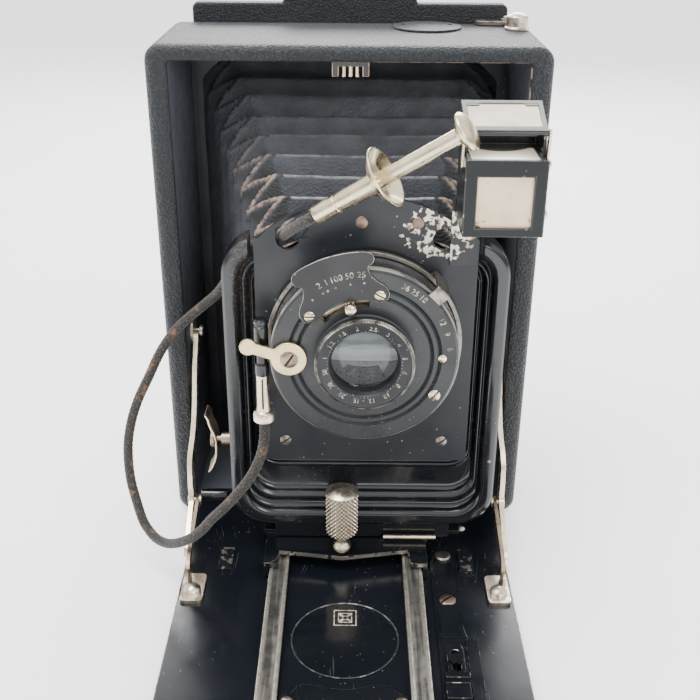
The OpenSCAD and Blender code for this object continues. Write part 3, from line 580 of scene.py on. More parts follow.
def catmull_rom(before, a, b, after, t):
    return 0.5 * (2 * a + (b - before) * t + (2 * before - 5 * a + 4 * b - after) * t * t
                  + (3 * a - before - 3 * b + after) * t ** 3)


def direction(path, i):
    """Unit vector along the path at its point i."""
    return (path[min(i + 1, len(path) - 1)] - path[max(i - 1, 0)]).normalized()


def smooth_path(points, step):
    """Catmull-Rom curve through the points, sampled at about the given step."""
    path = []
    for i in range(len(points) - 1):
        before = points[i - 1] if i else points[0] * 2 - points[1]
        a, b = points[i], points[i + 1]
        after = points[i + 2] if i + 2 < len(points) else b * 2 - a
        count = max(2, round((b - a).length / step))
        for k in range(count):
            path.append(catmull_rom(before, a, b, after, k / count))
    return path + [points[-1]]


def release_cable():
    path = smooth_path([at(*p) for p in CORD_ROUTE], 0.26 * MM)
    sides = 36
    radius = CORD_DIAMETER / 2
    bm = bmesh.new()
    layer = bm.loops.layers.uv.new("UVMap")
    strand = bm.verts.layers.float.new("strand")
    normal = Vector((1, 0, 0))
    travelled = 0.0
    rows = []
    lengths = []
    for i, point in enumerate(path):
        along = direction(path, i)
        normal = (normal - along * normal.dot(along)).normalized()
        other = along.cross(normal)
        if i:
            travelled += (point - path[i - 1]).length
        twist = travelled / radius * BRAID_PITCH
        row = []
        for a in circle(sides):
            weave = abs(math.sin(STRANDS / 2 * (a + twist)) * math.sin(STRANDS / 2 * (a - twist)))
            outwards = normal * math.cos(a) + other * math.sin(a)
            vert = bm.verts.new(point + outwards * (radius - (1 - weave) * BRAID_RELIEF * MM))
            # the weave height also drives the painted shade in the grooves of the braid
            vert[strand] = weave
            row.append(vert)
        rows.append(row)
        lengths.append(travelled)
    for i in range(len(rows) - 1):
        for k in range(sides):
            j = (k + 1) % sides
            face = bm.faces.new((rows[i][k], rows[i][j], rows[i + 1][j], rows[i + 1][k]))
            for loop, (u, v) in zip(face.loops, ((k, i), (k + 1, i), (k + 1, i + 1), (k, i + 1))):
                loop[layer].uv = (u / sides, lengths[v] / radius / math.tau)
    bm.faces.new(rows[0])
    bm.faces.new(rows[-1])
    cable = object_from("release_cable", bm, braided_cotton(), angle=80)
    place(cable, "release_cord")
    return cable, path, travelled


def cord():
    cable, path, length = release_cable()
    tube = soften("plunger_tube", 0.25, NICKEL, segments=3)
    dish = soften("finger_dish", 0.12, NICKEL)


# ---- case ----

def case_body():
    low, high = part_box("case_shell")
    x0, x1, z0, z1 = low.x / MM, high.x / MM, low.z / MM, high.z / MM
    rear = depth_of(high.y)
    mouth = (x0 + 7, x1 - 7, z0 + 6, z1 - 4.6)

    def loop(share, d, radius):
        sides = [a + (b - a) * share for a, b in zip((x0, x1, z0, z1), mouth)]
        return [at(x, d, z) for x, z in rounded_box(*sides, radius, 10)]

    steps = 5
    loops = [loop(0, rear + (-3.2 - rear) * k / 12, 5) for k in range(13)]
    for k in range(1, steps + 1):
        a = math.radians(90 * k / steps)
        loops.append(loop(0.45 * (1 - math.cos(a)), -3.2 + 3.2 * math.sin(a), 5))
    loops += [loop(0.7, -0.02, 3), loop(0.86, -0.05, 2.0), loop(0.95, -0.3, 1.4), loop(1, -0.9, 1.0)]
    outside = len(loops) - 2
    loops += [loop(1, -2.5, 0.8), loop(1, rear, 0.8)]
    bm = bmesh.new()
    loft(bm, loops, ring=True, slots=[0] * outside + [2, 1, 1, 1])
    body = object_from("case_cover", bm, LEATHER, case_inside(), rim_wear())
    cut(body, at(-50.4, 1, -1), at(50.4, -6, 6.5))
    place(body, "case_shell")


def case_inside():
    f = Finish("case_inside")
    f.colour(f.mix(f.noise(60, 4), (0.085, 0.094, 0.112), (0.135, 0.147, 0.172)))
    f.mottled_roughness(200, 3, 0.5, 0.7)
    return f.bump(f.noise(1500, 3), 0.0002, 0.5).material


def rim_wear():
    """The leather's cut edge round the mouth, rubbed brown at the upper right."""
    f = Finish("mouth_rim", 0.55)
    corner = at(40, 0, 157)
    near = f.step(f.distance(corner, (0.6, 0, 1)), 0.034, 0.012)
    rubbed = f.times(near, f.step(f.noise(260, 5), 0.42, 0.56))
    pale = f.mix(f.noise(500, 3), (0.30, 0.15, 0.09), (0.55, 0.42, 0.33))
    leather = f.mix(f.noise(300, 3), (0.01, 0.011, 0.012), (0.035, 0.036, 0.036))
    f.colour(f.mix(rubbed, leather, pale))
    return f.bump(f.noise(900, 4), 0.0003, 0.6).material


def case_fittings():
    soften("rear_panel", 0.5, DULL)
    soften("back_guides", 0.3, GLOSS, EDGE_HIGHLIGHT)
    soften("back_frame", 0.7, FINE_LEATHER, segments=3)
    soften("hood_walls", 0.4, FINE_LEATHER)
    soften("hood_lid", 0.5, LEATHER, segments=3)
    soften("hood_lid_pin", 0.1, NICKEL)
    soften("top_cover_plate", 0.2, FINE_LEATHER)
    soften("back_catch_post", 0.25, STAINED)
    soften("back_catch_arm", 0.15, STEEL)
    soften("door_catch_plate", 0.25, GLOSS, BRASS)
    paint(NICKEL, "door_catch_springs", "hinge_pin")
    paint(FROSTED, "ground_glass")
    paint(DULL, "bellows_rear_frame")


def frosted():
    f = Finish("frosted_glass", 0.5)
    f.colour(f.mix(f.noise(90, 4), (0.70, 0.73, 0.72), (0.80, 0.82, 0.80)))
    f.set("Transmission Weight", 0.6)
    return f.bump(f.noise(4000, 2), 0.00004, 0.6).material


FROSTED = frosted()


# ---- bellows ----

PLEAT = 7.0                                          # millimetres from ridge to ridge
FIRST_RIDGE = 15.0                                   # distance of the foremost ridge
FOLD = 5.8                                           # depth of the folds
CORNER_X = 10.0                                      # width of the folded corner
CORNER_Z = 8.5                                       # height of the folded corner
CORNER_STEPS = 14
PANEL_STEPS = 18


def bellows_piece():
    low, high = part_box("bellows")
    rear, near = depth_of(high.y), depth_of(low.y)
    rear_sides = (-49.3, 49.3, 9.2, 152.8)
    front_sides = (-24.8, 35.2, 45.2, 110.8)
    bm = bmesh.new()
    layers = [bm.verts.layers.float.new(name) for name in ("ridge", "corner")]
    steps = round((near - rear) / 0.45)
    rows = []
    for i in range(steps + 1):
        d = rear + (near - rear) * i / steps
        sides = [a + (b - a) * i / steps for a, b in zip(rear_sides, front_sides)]
        calm = max(0.06, min(1, (near - d) / 2.5, (d - rear) / 2.5))
        rows.append(bellows_loop(bm, d, sides, calm, layers))
    count = len(rows[0])
    for a, b in zip(rows, rows[1:]):
        for k in range(count):
            j = (k + 1) % count
            bm.faces.new((a[k], a[j], b[j], b[k]))
    piece = object_from("bellows_pleats", bm, bellows_leather(), angle=80)
    shell = piece.modifiers.new("shell", "SOLIDIFY")
    shell.thickness = 0.45 * MM
    first = piece.data.polygons[0]
    outward = first.normal.dot(first.center - middle("bellows")) > 0
    shell.offset = -1 if outward else 1
    bake(piece)
    shade_smooth(piece.data, 80)
    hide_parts("bellows")
    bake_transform(piece)


def crease(u, soft=0.05):
    """Distance from a fold, 0 to about 1, with the fold slightly rounded."""
    return math.sqrt(u * u + soft * soft) - soft


def bellows_loop(bm, d, sides, calm, layers):
    """Flat panels fold at every pleat; side panels fold half a pleat later, joined by zigzag corners."""
    x0, x1, z0, z1 = sides
    phase = ((d - FIRST_RIDGE) / PLEAT) % 1.0
    tent = 1 - abs(2 * phase - 1)                    # 0 on a ridge of the flat panels
    ridge_at = 1 - tent                              # where the corner's fold lies: 0 side, 1 flat
    corners = [(x1, z0, -1, 1), (x1, z1, -1, -1), (x0, z1, 1, -1), (x0, z0, 1, 1)]
    row = []
    for index, (cx, cz, sx, sz) in enumerate(corners):
        from_side = index in (0, 2)                  # reached from a flat panel at 0 and 2
        for k in range(CORNER_STEPS + 1):
            t = 1 - k / CORNER_STEPS if from_side else k / CORNER_STEPS
            base_x = cx + sx * CORNER_X * t
            base_z = cz + sz * CORNER_Z * (1 - t)
            bulge = 1.6 * 4 * t * (1 - t)
            deeper = 1 + 2.4 * t * (1 - t)
            depth = FOLD * calm * deeper * crease(t - ridge_at, 0.03) - bulge * 0.5
            # closeness to the corner's fold: the material turns it into brown rubbing and into painted shade
            # in the hollows
            near_fold = max(0.0, 1 - crease(t - ridge_at, 0.02) * 5.6)
            push = (sx * depth * (1 - t * 0.8), sz * depth * (0.2 + 0.8 * t))
            corner = 0.25 + 0.75 * near_fold
            row.append(pleat_vert(bm, base_x + push[0], d, base_z + push[1], 0.0, corner, 1.0, layers))
        far = corners[(index + 1) % 4]
        flat = index in (1, 3)
        fold = FOLD * calm * crease(1 - ridge_at if flat else ridge_at)
        if flat:
            a = (cx + sx * CORNER_X, cz + sz * fold)
            b = (far[0] + far[2] * CORNER_X, cz + sz * fold)
            ridge = 1 - tent
        else:
            a = (cx + sx * fold, cz + sz * CORNER_Z)
            b = (cx + sx * fold, far[1] + far[3] * CORNER_Z)
            ridge = 0.3 * tent
        for k in range(1, PANEL_STEPS):
            t = k / PANEL_STEPS
            edge = max(0.0, 1 - min(t, 1 - t) * 16)
            x, z = (start + (end - start) * t for start, end in zip(a, b))
            row.append(pleat_vert(bm, x, d, z, ridge, 0.5 * edge, 0.5, layers))
    return row


def pleat_vert(bm, x, d, z, ridge, corner, rough, layers):
    p = at(x, d, z)
    sag = (noise.noise(p * 60) * 0.8 + noise.noise(p * 190) * 0.35) * rough
    vert = bm.verts.new(p + Vector((0.5 * sag, sag, sag)) * MM)
    vert[layers[0]] = ridge
    vert[layers[1]] = corner
    return vert


# ---- bed ----

def bed():
    soften("bed_board", 0.6, LEATHER, segments=3)
    soften("bed_liner", 0.35, BED_GLOSS, RUBBED)
    soften("tripod_bush", 0.3, BRASS)
    soften("hinge_knuckles", 0.3, GLOSS, EDGE_HIGHLIGHT)
    soften("stop_base", 0.15, GLOSS, WORN)
    soften("infinity_stop", 0.25, GLOSS, WORN, 3)
    soften("front_stop_plate", 0.2, GLOSS, RUBBED, 2)
    soften("scale_strip", 0.1, GLOSS, WORN)
    bed_screws()
    soften("carriage", 0.3, GLOSS, EDGE_HIGHLIGHT, 3)
    soften("cross_rod", 0.1, NICKEL, other=GLOSS, where=lambda p: p.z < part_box("cross_rod")[0].z + 0.7 * MM)
    carriage_lip()
    soften("standard_foot", 0.3, GLOSS, EDGE_HIGHLIGHT)
    rails()
    round_plate()


def bed_screws():
    """Two slotted screws, a rivet, and the studs of the front plate."""
    soften("bed_screws", 0.12, STAINED, other=GLOSS, where=lambda p: p.x > 28 * MM and p.y < FRONT - 30 * MM)
    heads = ((31.2, 55.6, 40, 2.5), (31.4, 34, 0, 2.5))
    for (x, d, angle, radius), material in zip(heads, (COPPER, STEEL)):
        bm = bmesh.new()
        seat = Matrix.Translation(at(x, d, BED_TOP / MM + 0.9))
        slotted_head(bm, turned(seat, angle), radius + 0.04, 1.16)
        extra("case", "bed_screw_%d" % round(d), bm, material, SLOT_SHADE, angle=30)


def carriage_lip():
    """Folded front lip of the carriage, rubbed bright, with a hook over each rail."""
    line = [
        (-25.6, 43.9), (-23.6, 43.7), (-22.0, 42.2), (-21.3, 40.2), (-21.2, 37.8), (-11, 39.0),
        (-1.3, 40.6), (9, 38.7), (19.7, 36.9), (20.1, 38.5), (20.4, 43.2), (22.5, 43.8), (25.7, 43.8),
    ]
    half_thick = 0.14
    top = BED_TOP / MM + 5.75
    bm = bmesh.new()
    loops = []
    for i, (x, d) in enumerate(line):
        ax, ad = line[max(i - 1, 0)]
        bx, bd = line[min(i + 1, len(line) - 1)]
        long = math.hypot(bx - ax, bd - ad)
        nx = (bd - ad) / long * half_thick
        nd = -(bx - ax) / long * half_thick
        section = ((-1, top - 1.2), (1, top - 1.2), (1, top), (-1, top))
        loops.append([at(x + s * nx, d + s * nd, z) for s, z in section])
    loft(bm, loops)
    extra("carriage", "carriage_lip", bm, RUBBED)


def worn_rail():
    """Painted rail rubbed to bare metal on its two lips."""
    f = Finish("worn_rail", metallic=0.85)
    half = (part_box("rails")[1].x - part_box("rails")[0].x) / 2 - 3 * MM
    mirrored = f.math("ABSOLUTE", f.distance(Vector((0, 0, 0)), (1, 0, 0)))
    lip = f.step(f.math("ABSOLUTE", f.math("SUBTRACT", mirrored, half)), 1.5 * MM, 2.1 * MM)
    streaks = f.noise(900, 3, f.stretched(1.0, 0.05, 1.0))
    channel = f.mix(f.step(streaks, 0.4, 0.65), (0.16, 0.155, 0.145), (0.40, 0.375, 0.335))
    bare = f.mix(f.step(f.noise(300, 4), 0.4, 0.65), (0.74, 0.69, 0.60), (0.42, 0.39, 0.34))
    f.colour(f.mix(lip, channel, bare))
    f.mottled_roughness(300, 3, 0.24, 0.42)
    return f.material


def rails():
    """Two folded rails: a shallow channel between two lips."""
    low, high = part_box("rails")
    bm = bmesh.new()
    base = low.z / MM
    top = high.z / MM
    half = 3.0
    right = [
        (1.8, base), (1.8, top - 1.6), (half, top - 1.6), (half, top - 0.25), (half - 0.25, top),
        (half - 0.95, top), (half - 1.2, top - 0.3),
    ]
    section = [(-1.8, base)] + right + [(-x, z) for x, z in right[:0:-1]]
    for middle_x in (low.x / MM + half, high.x / MM - half):
        loops = [[Vector(((middle_x + x) * MM, y, z * MM)) for x, z in section] for y in (low.y, high.y)]
        loft(bm, loops)
    place(bevel(object_from("focusing_rails", bm, worn_rail()), 0.1), "rails")


def round_plate():
    """Round plate on the bed: black with a painted highlight on its fine rim, and a plain square ornament."""
    low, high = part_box("oval_plate")
    radius = (high.x - low.x) / 2 / MM
    thick = (high.z - low.z) / MM
    centre = middle("oval_plate")
    matrix = Matrix.Translation(Vector((centre.x, centre.y, low.z)))
    bm = bmesh.new()
    lathe(bm, [(0, 0), (radius, 0), (radius, thick - 0.12), (radius - 0.12, thick), (radius - 0.3, thick),
               (radius - 0.5, thick - 0.16), (0, thick - 0.16)], matrix, 120)
    bm.faces.ensure_lookup_table()
    for face in bm.faces:
        centre_of = matrix.inverted() @ face.calc_center_median()
        # the rim's faces take the painted highlight
        if centre_of.xy.length > (radius - 0.52) * MM and centre_of.z > (thick - 0.2) * MM:
            face.material_index = 1
    place(object_from("round_plate", bm, GLOSS, RIM_HIGHLIGHT, angle=25), "oval_plate")
    plate_ornament(matrix, thick)


def plate_ornament(matrix, thick):
    """Three nested squares round four leaves."""
    up = 9.0
    line = 0.28
    bm = bmesh.new()
    for half in (3.4, 3.4 - 1.3, 3.4 - 2.5):
        low_in = -half + line
        high_in = half - line
        bars = [(-half, -half, half, low_in), (-half, high_in, half, half),
                (-half, low_in, low_in, high_in), (high_in, low_in, half, high_in)]
        for ax, ay, bx, by in bars:
            extrude(bm, rectangle(ax, bx, up + ay, up + by), matrix, thick - 0.2, thick - 0.1)
    leaf = [(0.5 + 1.2 * (1 - math.cos(a)), 0.42 * math.sin(a)) for a in circle(12)]
    for k in range(4):
        middle_of = matrix @ Matrix.Translation((0, up * MM, 0))
        extrude(bm, leaf, turned(middle_of, 45 + 90 * k), thick - 0.2, thick - 0.08)
    extra("case", "plate_ornament", bm, ivory_paint())


# ---- struts ----

def struts():
    soften("strut_brackets", 0.3, STAINED, other=WORN, where=lambda p: abs(p.x) < 41 * MM)
    soften("strut_pins", 0.2, STAINED, other=GLOSS, where=lambda p: abs(p.x) < 47.9 * MM)
    strip_pair("strut_strips", "strut_arms", ARM_PATH, 1.7, 3.6, NICKEL)
    strip_pair("strut_link_strips", "strut_links", LINK_PATH, 1.3, 2.6, BROWNED)


# Paths of the right-hand strips: x, distance in front of the case, height.
ARM_PATH = [
    (51.3, -12, 66), (51.2, -3, 56), (50.7, 5, 46.5), (50.7, 11, 39.5), (51.4, 16.4, 32.5),
    (51.4, 18.6, 25), (51.2, 20.2, 19), (51.2, 27, 15), (51.2, 37, 8.7),
]
LINK_PATH = [(49.2, 18.4, 19.5), (49.2, 22, 18.6), (49.2, 32, 16), (49.2, 42, 13.6), (49.0, 47.4, 11.6)]
# Half of a flat strip's section with softened edges, as shares of its thickness and width.
STRIP_SECTION = [(0.5, 0.42), (0.42, 0.5), (-0.42, 0.5), (-0.5, 0.42)]


def strip(bm, path, thick, wide):
    """A flat strip on edge, wide in the upright plane, with narrowed ends."""
    section = STRIP_SECTION + [(-u, -v) for u, v in STRIP_SECTION]
    points = smooth_path([at(*p) for p in path], 1.2 * MM)
    loops = []
    for i, point in enumerate(points):
        along = direction(points, i)
        across = along.cross(Vector((1, 0, 0))).normalized()
        side = across.cross(along).normalized()
        share = min(i, len(points) - 1 - i)
        taper = (0.55, 0.85, 1.0)[min(share, 2)]
        loops.append([point + (side * u * thick + across * v * wide * taper) * MM for u, v in section])
    loft(bm, loops)


def strip_pair(name, node, path, thick, wide, material):
    bm = bmesh.new()
    for s in (-1, 1):
        strip(bm, [(s * x, d, z) for x, d, z in path], thick, wide)
    place(object_from(name, bm, material, angle=30), node)


# ---- clamp knob ----

KNURL_H = 14.4                                       # height of the knob's knurled barrel
KNURL_ROWS = 10
KNURL_AROUND = 22
CROWN_H = 1.9                                        # height of the knob's domed top


def clamp_knob():
    low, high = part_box("clamp_knob")
    centre = middle("clamp_knob")
    bottom = low.z / MM
    radius = (high.x - low.x) / 2 / MM
    base = high.z / MM - 2.2 - KNURL_H               # lower end of the knurled barrel
    matrix = Matrix.Translation(Vector((centre.x, centre.y, 0)))

    def diamonds(r, a, h):
        if r < radius - 0.7 or not base < h < base + KNURL_H:
            return 0.0
        u = KNURL_AROUND * a / 2
        v = math.pi * KNURL_ROWS * (h - base) / KNURL_H
        return 0.5 - 0.55 * max(abs(math.sin(u + v)), abs(math.sin(u - v)))

    profile = [
        (0, bottom), (1.2, bottom), (1.2, base - 6.9), (2.7, base - 6.6), (2.9, base - 5.4),
        (2.3, base - 4.6), (1.9, base - 3.4), (2.1, base - 2.2), (3.0, base - 1.4), (3.6, base - 1.1),
        (radius - 0.6, base),
    ]
    profile += [(radius - 0.55, base + KNURL_H * k / 110) for k in range(1, 110)]
    crown = base + KNURL_H + 0.3
    profile += [(radius - 0.2, base + KNURL_H), (radius, crown)]
    ball = (radius ** 2 + CROWN_H ** 2) / (2 * CROWN_H)
    for k in range(1, 9):
        r = radius * math.cos(math.radians(90 * k / 8))
        profile.append((r, crown + math.sqrt(ball ** 2 - r ** 2) - ball + CROWN_H))
    bm = bmesh.new()
    lathe(bm, profile, matrix, 176, diamonds)
    material = knurled_nickel(centre, radius, base)
    place(object_from("clamp_knob_knurled", bm, material, angle=60), "clamp_knob")


def knurled_nickel(centre, radius, base):
    """Nickel, darker in the valleys of the knurl."""
    f = Finish("knurled_nickel", metallic=1.0)
    out = f.distance(Vector((centre.x, centre.y, 0)), (1, 1, 0))
    barrel = f.step(f.distance(Vector((0, 0, (base + KNURL_H / 2) * MM)), (0, 0, 1)), 0.0074, 0.0071)
    valley = f.times(f.step(out, (radius - 0.12) * MM, (radius - 0.5) * MM), barrel)
    clean = f.mix(f.step(f.noise(480, 5), 0.62, 0.78), (0.97, 0.86, 0.68), (0.45, 0.34, 0.23))
    f.colour(f.mix(f.times(valley, 0.75), clean, (0.20, 0.155, 0.11)))
    f.mottled_roughness(260, 4, 0.2, 0.36, 0.75)
    return f.material


# ---- standard ----

STANDARD_W = 83
STUD_D = 25.5                                        # the lock lever's stud, in front of the case
STUD_Z = 46
# Ridges pressed into the frame: side inset, bottom inset, distance in front of the back plate, corner radius.
RIDGES = [
    (0, 0, 0, 12), (0, 0, 7.4, 12), (0.3, 0.3, 8.4, 11.8), (1.1, 1.1, 9.1, 11.2), (2.4, 2.6, 9.2, 10.4),
    (3.5, 4.2, 9.0, 9.6), (4.3, 5.2, 8.2, 9.2), (4.8, 6.0, 6.6, 8.8), (5.3, 8.0, 6.0, 8.4),
    (5.8, 9.2, 7.2, 8.2), (6.3, 10.2, 7.6, 8), (6.8, 11.4, 6.8, 7.6), (7.3, 13, 5.2, 7.4),
    (7.8, 19.4, 4.6, 7), (8.2, 20.8, 6.0, 6.8), (8.6, 21.8, 6.4, 6.4), (9.0, 22.8, 5.6, 6),
    (9.4, 24.0, 6.4, 5.6), (9.8, 25.0, 6.5, 5.4),
]
WINDOW_EDGE = [(11.1, 27.0, 1.2, 4), (14.5, 29.0, 1.2, 2), (14.5, 29.0, 0, 2)]
DEEPEST_TOP = 11.8                                   # the ridges' top insets stop here


def on_stud(x):
    """A place on the lock lever's stud, with local z pointing right."""
    return Matrix.Translation(at(x, STUD_D, STUD_Z)) @ Matrix.Rotation(math.radians(90), 4, "Y")


def standard():
    low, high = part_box("standard_frame")
    x1, z0, z1 = high.x / MM, low.z / MM, high.z / MM
    x0 = x1 - STANDARD_W
    back, face = depth_of(high.y), depth_of(low.y)
    section = smooth_path([Vector(ridge) for ridge in RIDGES], 0.35) + [Vector(edge) for edge in WINDOW_EDGE]
    loops = []
    for side, bottom, d, r in section:
        outline = rounded_box(x0 + side, x1 - side, z0 + bottom, z1 - min(side, DEEPEST_TOP), r, 12)
        loops.append([at(x, back + d, z) for x, z in outline])
    bm = bmesh.new()
    loft(bm, loops, ring=True)
    pan = object_from("standard_pan", bm, frame_enamel(), angle=60)
    cut(pan, at(-28.3, back - 1, 107), at(38.7, face + 1, z1 + 2))
    cut(pan, at(-25.1, back + 1.3, 95), at(35.5, face + 1, z1 + 2))   # room for the board's guides to rise
    place(pan, "standard_frame")
    bm = bmesh.new()
    lathe(bm, [(0, 0), (0.8, 0), (1, 0.2), (1, 2), (2, 2), (2, 5), (0, 5)], on_stud(low.x / MM), 32)
    lathe(bm, [(0, 0), (0.9, 0), (0.8, 0.25), (0, 0.4)], facing_front(44.6, face - 0.3, 41.7), 24)
    extra("standard", "standard_studs", bm, BROWNED)
    rise_lever()


def rise_lever():
    """Bent leaf on the side of the standard, with a hub round its stud."""
    bend = [
        (-43.9, 55.6), (-43.1, 54.2), (-42.5, 51.6), (-41.3, 48.2), (-40.9, 44.4), (-41.2, 40.4),
        (-42.4, 37), (-43.7, 35),
    ]
    leaf = smooth_path([Vector(p) for p in bend], 0.7)
    low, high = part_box("rise_lever")
    back, near = depth_of(high.y), depth_of(low.y)
    section = (
        (-1, back + 0.2), (1, back + 0.2), (1, near - 0.2), (0.5, near), (-0.5, near), (-1, near - 0.2),
    )
    loops = []
    for i, point in enumerate(leaf):
        along = direction(leaf, i)
        side = Vector((along.y, -along.x)) * (0.34 if 0 < i < len(leaf) - 1 else 0.2)
        loops.append([at(point.x + side.x * s, d, point.y + side.y * s) for s, d in section])
    bm = bmesh.new()
    loft(bm, loops)
    bm.faces.ensure_lookup_table()
    for face in bm.faces:
        face.material_index = 1 if depth_of(face.calc_center_median().y) > near - 0.15 else 0
    hub = [(1.05, 0), (2.4, 0), (2.6, 0.2), (2.6, 1.0), (2.4, 1.2), (1.05, 1.2)]
    lathe(bm, hub, on_stud(-42.7), 36)
    place(object_from("rise_lever_leaf", bm, BROWNED, NICKEL, angle=40), "rise_lever")


def frame_enamel():
    """Gloss enamel of the standard, with brown dust inside its upper left side."""
    f = Finish("frame_enamel")
    dusty = f.step(f.distance(at(-29.5, 27, 100), (1.5, 0, 0.33)), 0.0080, 0.003)
    grit = f.times(dusty, f.step(f.noise(1400, 4), 0.50, 0.66))
    dots = f.times(specks(f, 480, 0.12), 0.5)
    base = f.mix(dots, (0.006, 0.0075, 0.010), (0.3, 0.28, 0.25))
    f.colour(f.mix(f.times(grit, 0.7), base, (0.15, 0.115, 0.08)))
    haze = f.math("ADD", f.times(dusty, 0.4), f.noise(50, 3))
    f.set("Roughness", f.step(haze, 0.3, 1.0, 0.06, 0.55))
    f.set("Specular IOR Level", 0.7)
    return f.bump(f.noise(70, 2), 0.0005, 0.12).material


# ---- lens board and shutter ----

def board_enamel():
    f = Finish("board_enamel")
    patch = f.step(f.distance(at(25, 31, 117), (1, 0, 1.1)), 0.0125, 0.004)
    chips = f.step(f.math("ADD", f.noise(560, 7), f.times(patch, 0.13)), 0.61, 0.65)
    bare = f.times(chips, f.step(patch, 0.02, 0.2))
    dots = specks(f, 420, 0.13)
    coat = f.mix(f.noise(60, 4), (0.011, 0.013, 0.016), (0.022, 0.025, 0.030))
    base = f.mix(dots, coat, (0.34, 0.31, 0.27))
    metal = f.mix(f.step(f.noise(420, 3), 0.52, 0.68), (0.62, 0.57, 0.48), (0.22, 0.14, 0.10))
    f.colour(f.mix(bare, base, metal))
    f.set("Metallic", bare)
    f.mottled_roughness(100, 4, 0.28, 0.42)
    f.set("Specular IOR Level", 0.4)
    return f.bump(f.noise(1800, 2), 0.00005, 0.4).material


def shutter_black():
    """Semi-matt black, with a painted highlight along the rim, broken up by noise."""
    f = Finish("shutter_black")
    radius = f.distance(LENS, (1, 0, 1))
    # painted highlight: a lighter ring along the rim of the cover
    rim = f.times(f.step(radius, 0.02645, 0.0268), f.step(f.noise(180, 4), 0.38, 0.6, 0.25, 0.9))
    dots = f.times(specks(f, 500, 0.12), 0.7)
    coat = f.mix(f.noise(80, 4), (0.012, 0.014, 0.016), (0.030, 0.033, 0.036))
    base = f.mix(dots, coat, (0.32, 0.30, 0.27))
    f.colour(f.mix(rim, base, (0.34, 0.32, 0.29)))
    f.mottled_roughness(130, 4, 0.26, 0.4)
    return f.bump(f.noise(2200, 2), 0.00004, 0.4).material


def ivory_paint():
    """Engraving filled with ivory paint that has partly worn out."""
    f = Finish("number_paint", 0.5)
    worn = f.step(f.noise(900, 3), 0.38, 0.6)
    f.colour(f.mix(worn, (0.60, 0.54, 0.43), (0.16, 0.14, 0.12)))
    return f.material


def add_number(bm, text, size, matrix):
    """A raised number, centred on the matrix's origin and reading along its x axis; sizes in millimetres."""
    curve = bpy.data.curves.new("number", "FONT")
    curve.body = text
    curve.size = size * MM
    curve.extrude = 0.03 * MM
    curve.resolution_u = 3
    curve.align_x, curve.align_y = "CENTER", "CENTER"
    letter = bpy.data.objects.new("number", curve)
    bpy.context.scene.collection.objects.link(letter)
    bpy.context.view_layer.update()
    mesh = bpy.data.meshes.new_from_object(letter.evaluated_get(bpy.context.evaluated_depsgraph_get()))
    mesh.transform(matrix)
    bm.from_mesh(mesh)
    bpy.data.objects.remove(letter)
    bpy.data.curves.remove(curve)
    bpy.data.meshes.remove(mesh)


def round_lens(angle, radius, d):
    """A place at an angle about the lens, with local y pointing outwards."""
    return turned(on_lens(d), angle - 90) @ Matrix.Translation((0, radius * MM, 0))


def dial_numbers():
    paint_d = COVER_D + 0.03
    bm = bmesh.new()
    for angle, number in zip((63, 56, 49, 28, 18.5, 7), ("36", "25", "18", "12", "9", "6")):
        add_number(bm, number, 2.4, round_lens(angle, 24.2, paint_d))
    extra("lens_front", "aperture_numbers", bm, ivory_paint())
    plate_d = COVER_D + PLATE_T
    bm = bmesh.new()
    for angle, number in zip((120, 115, 108.5, 100, 92.6), ("2", "1", "100", "50", "25")):
        add_number(bm, number, 2.5, round_lens(angle, 25.5, plate_d + 0.02))
    for angle in (91, 100.5, 110.8, 116.5, 120.3, 129):
        dot = round_lens(angle, 23.1, plate_d - 0.03)
        lathe(bm, [(0, 0), (0.32, 0), (0.26, 0.16), (0, 0.2)], dot, 12)
    extra("lens_front", "speed_numbers", bm, ivory_paint())


PLATE_T = 0.62                                       # height of the speed plate's face above the cover
# Speed plate about the lens axis: a curved upper part on two screw lugs, in millimetres.
PLATE_OUTLINE = [
    (6.6, 20.2), (6.2, 18.5), (5, 17.6), (3.3, 17.5), (1.7, 17.8), (-1.3, 17.9), (-4.3, 17.6), (-7, 16.9),
    (-9.4, 15.7), (-11, 14.2), (-12.3, 12.6), (-13.9, 11.4), (-15.5, 10.9), (-16.9, 11.3), (-17.9, 12.3),
    (-18.3, 13.8), (-18.1, 15.4), (-17.5, 17.1), (-17.1, 19), (-17.1, 20.4), (-17.5, 21.3), (-18.3, 21.6),
    (-19.2, 21.8), (-20, 22.7), (-20.3, 23.8), (-20, 25), (-19.1, 26), (-17.6, 27.1), (-14.9, 28.6),
    (-11.5, 30.1), (-8.1, 31.1), (-4.8, 31.8), (-1.9, 32.1), (0.1, 32.1), (1.3, 31.8), (2, 30.9), (2.2, 29.9),
    (1.7, 28.8), (0.7, 28), (0.6, 27.2), (1.2, 25.8), (2.3, 24.4), (3.9, 23.2), (5.5, 22.2),
]


def rounded_outline(points, cuts=3):
    """The outline with its corners smoothed by a closed curve."""
    ring = [Vector(p) for p in points]
    out = []
    for i in range(len(ring)):
        before, a, b, after = (ring[(i + k) % len(ring)] for k in (-1, 0, 1, 2))
        for k in range(cuts):
            out.append(catmull_rom(before, a, b, after, k / cuts))
    return out


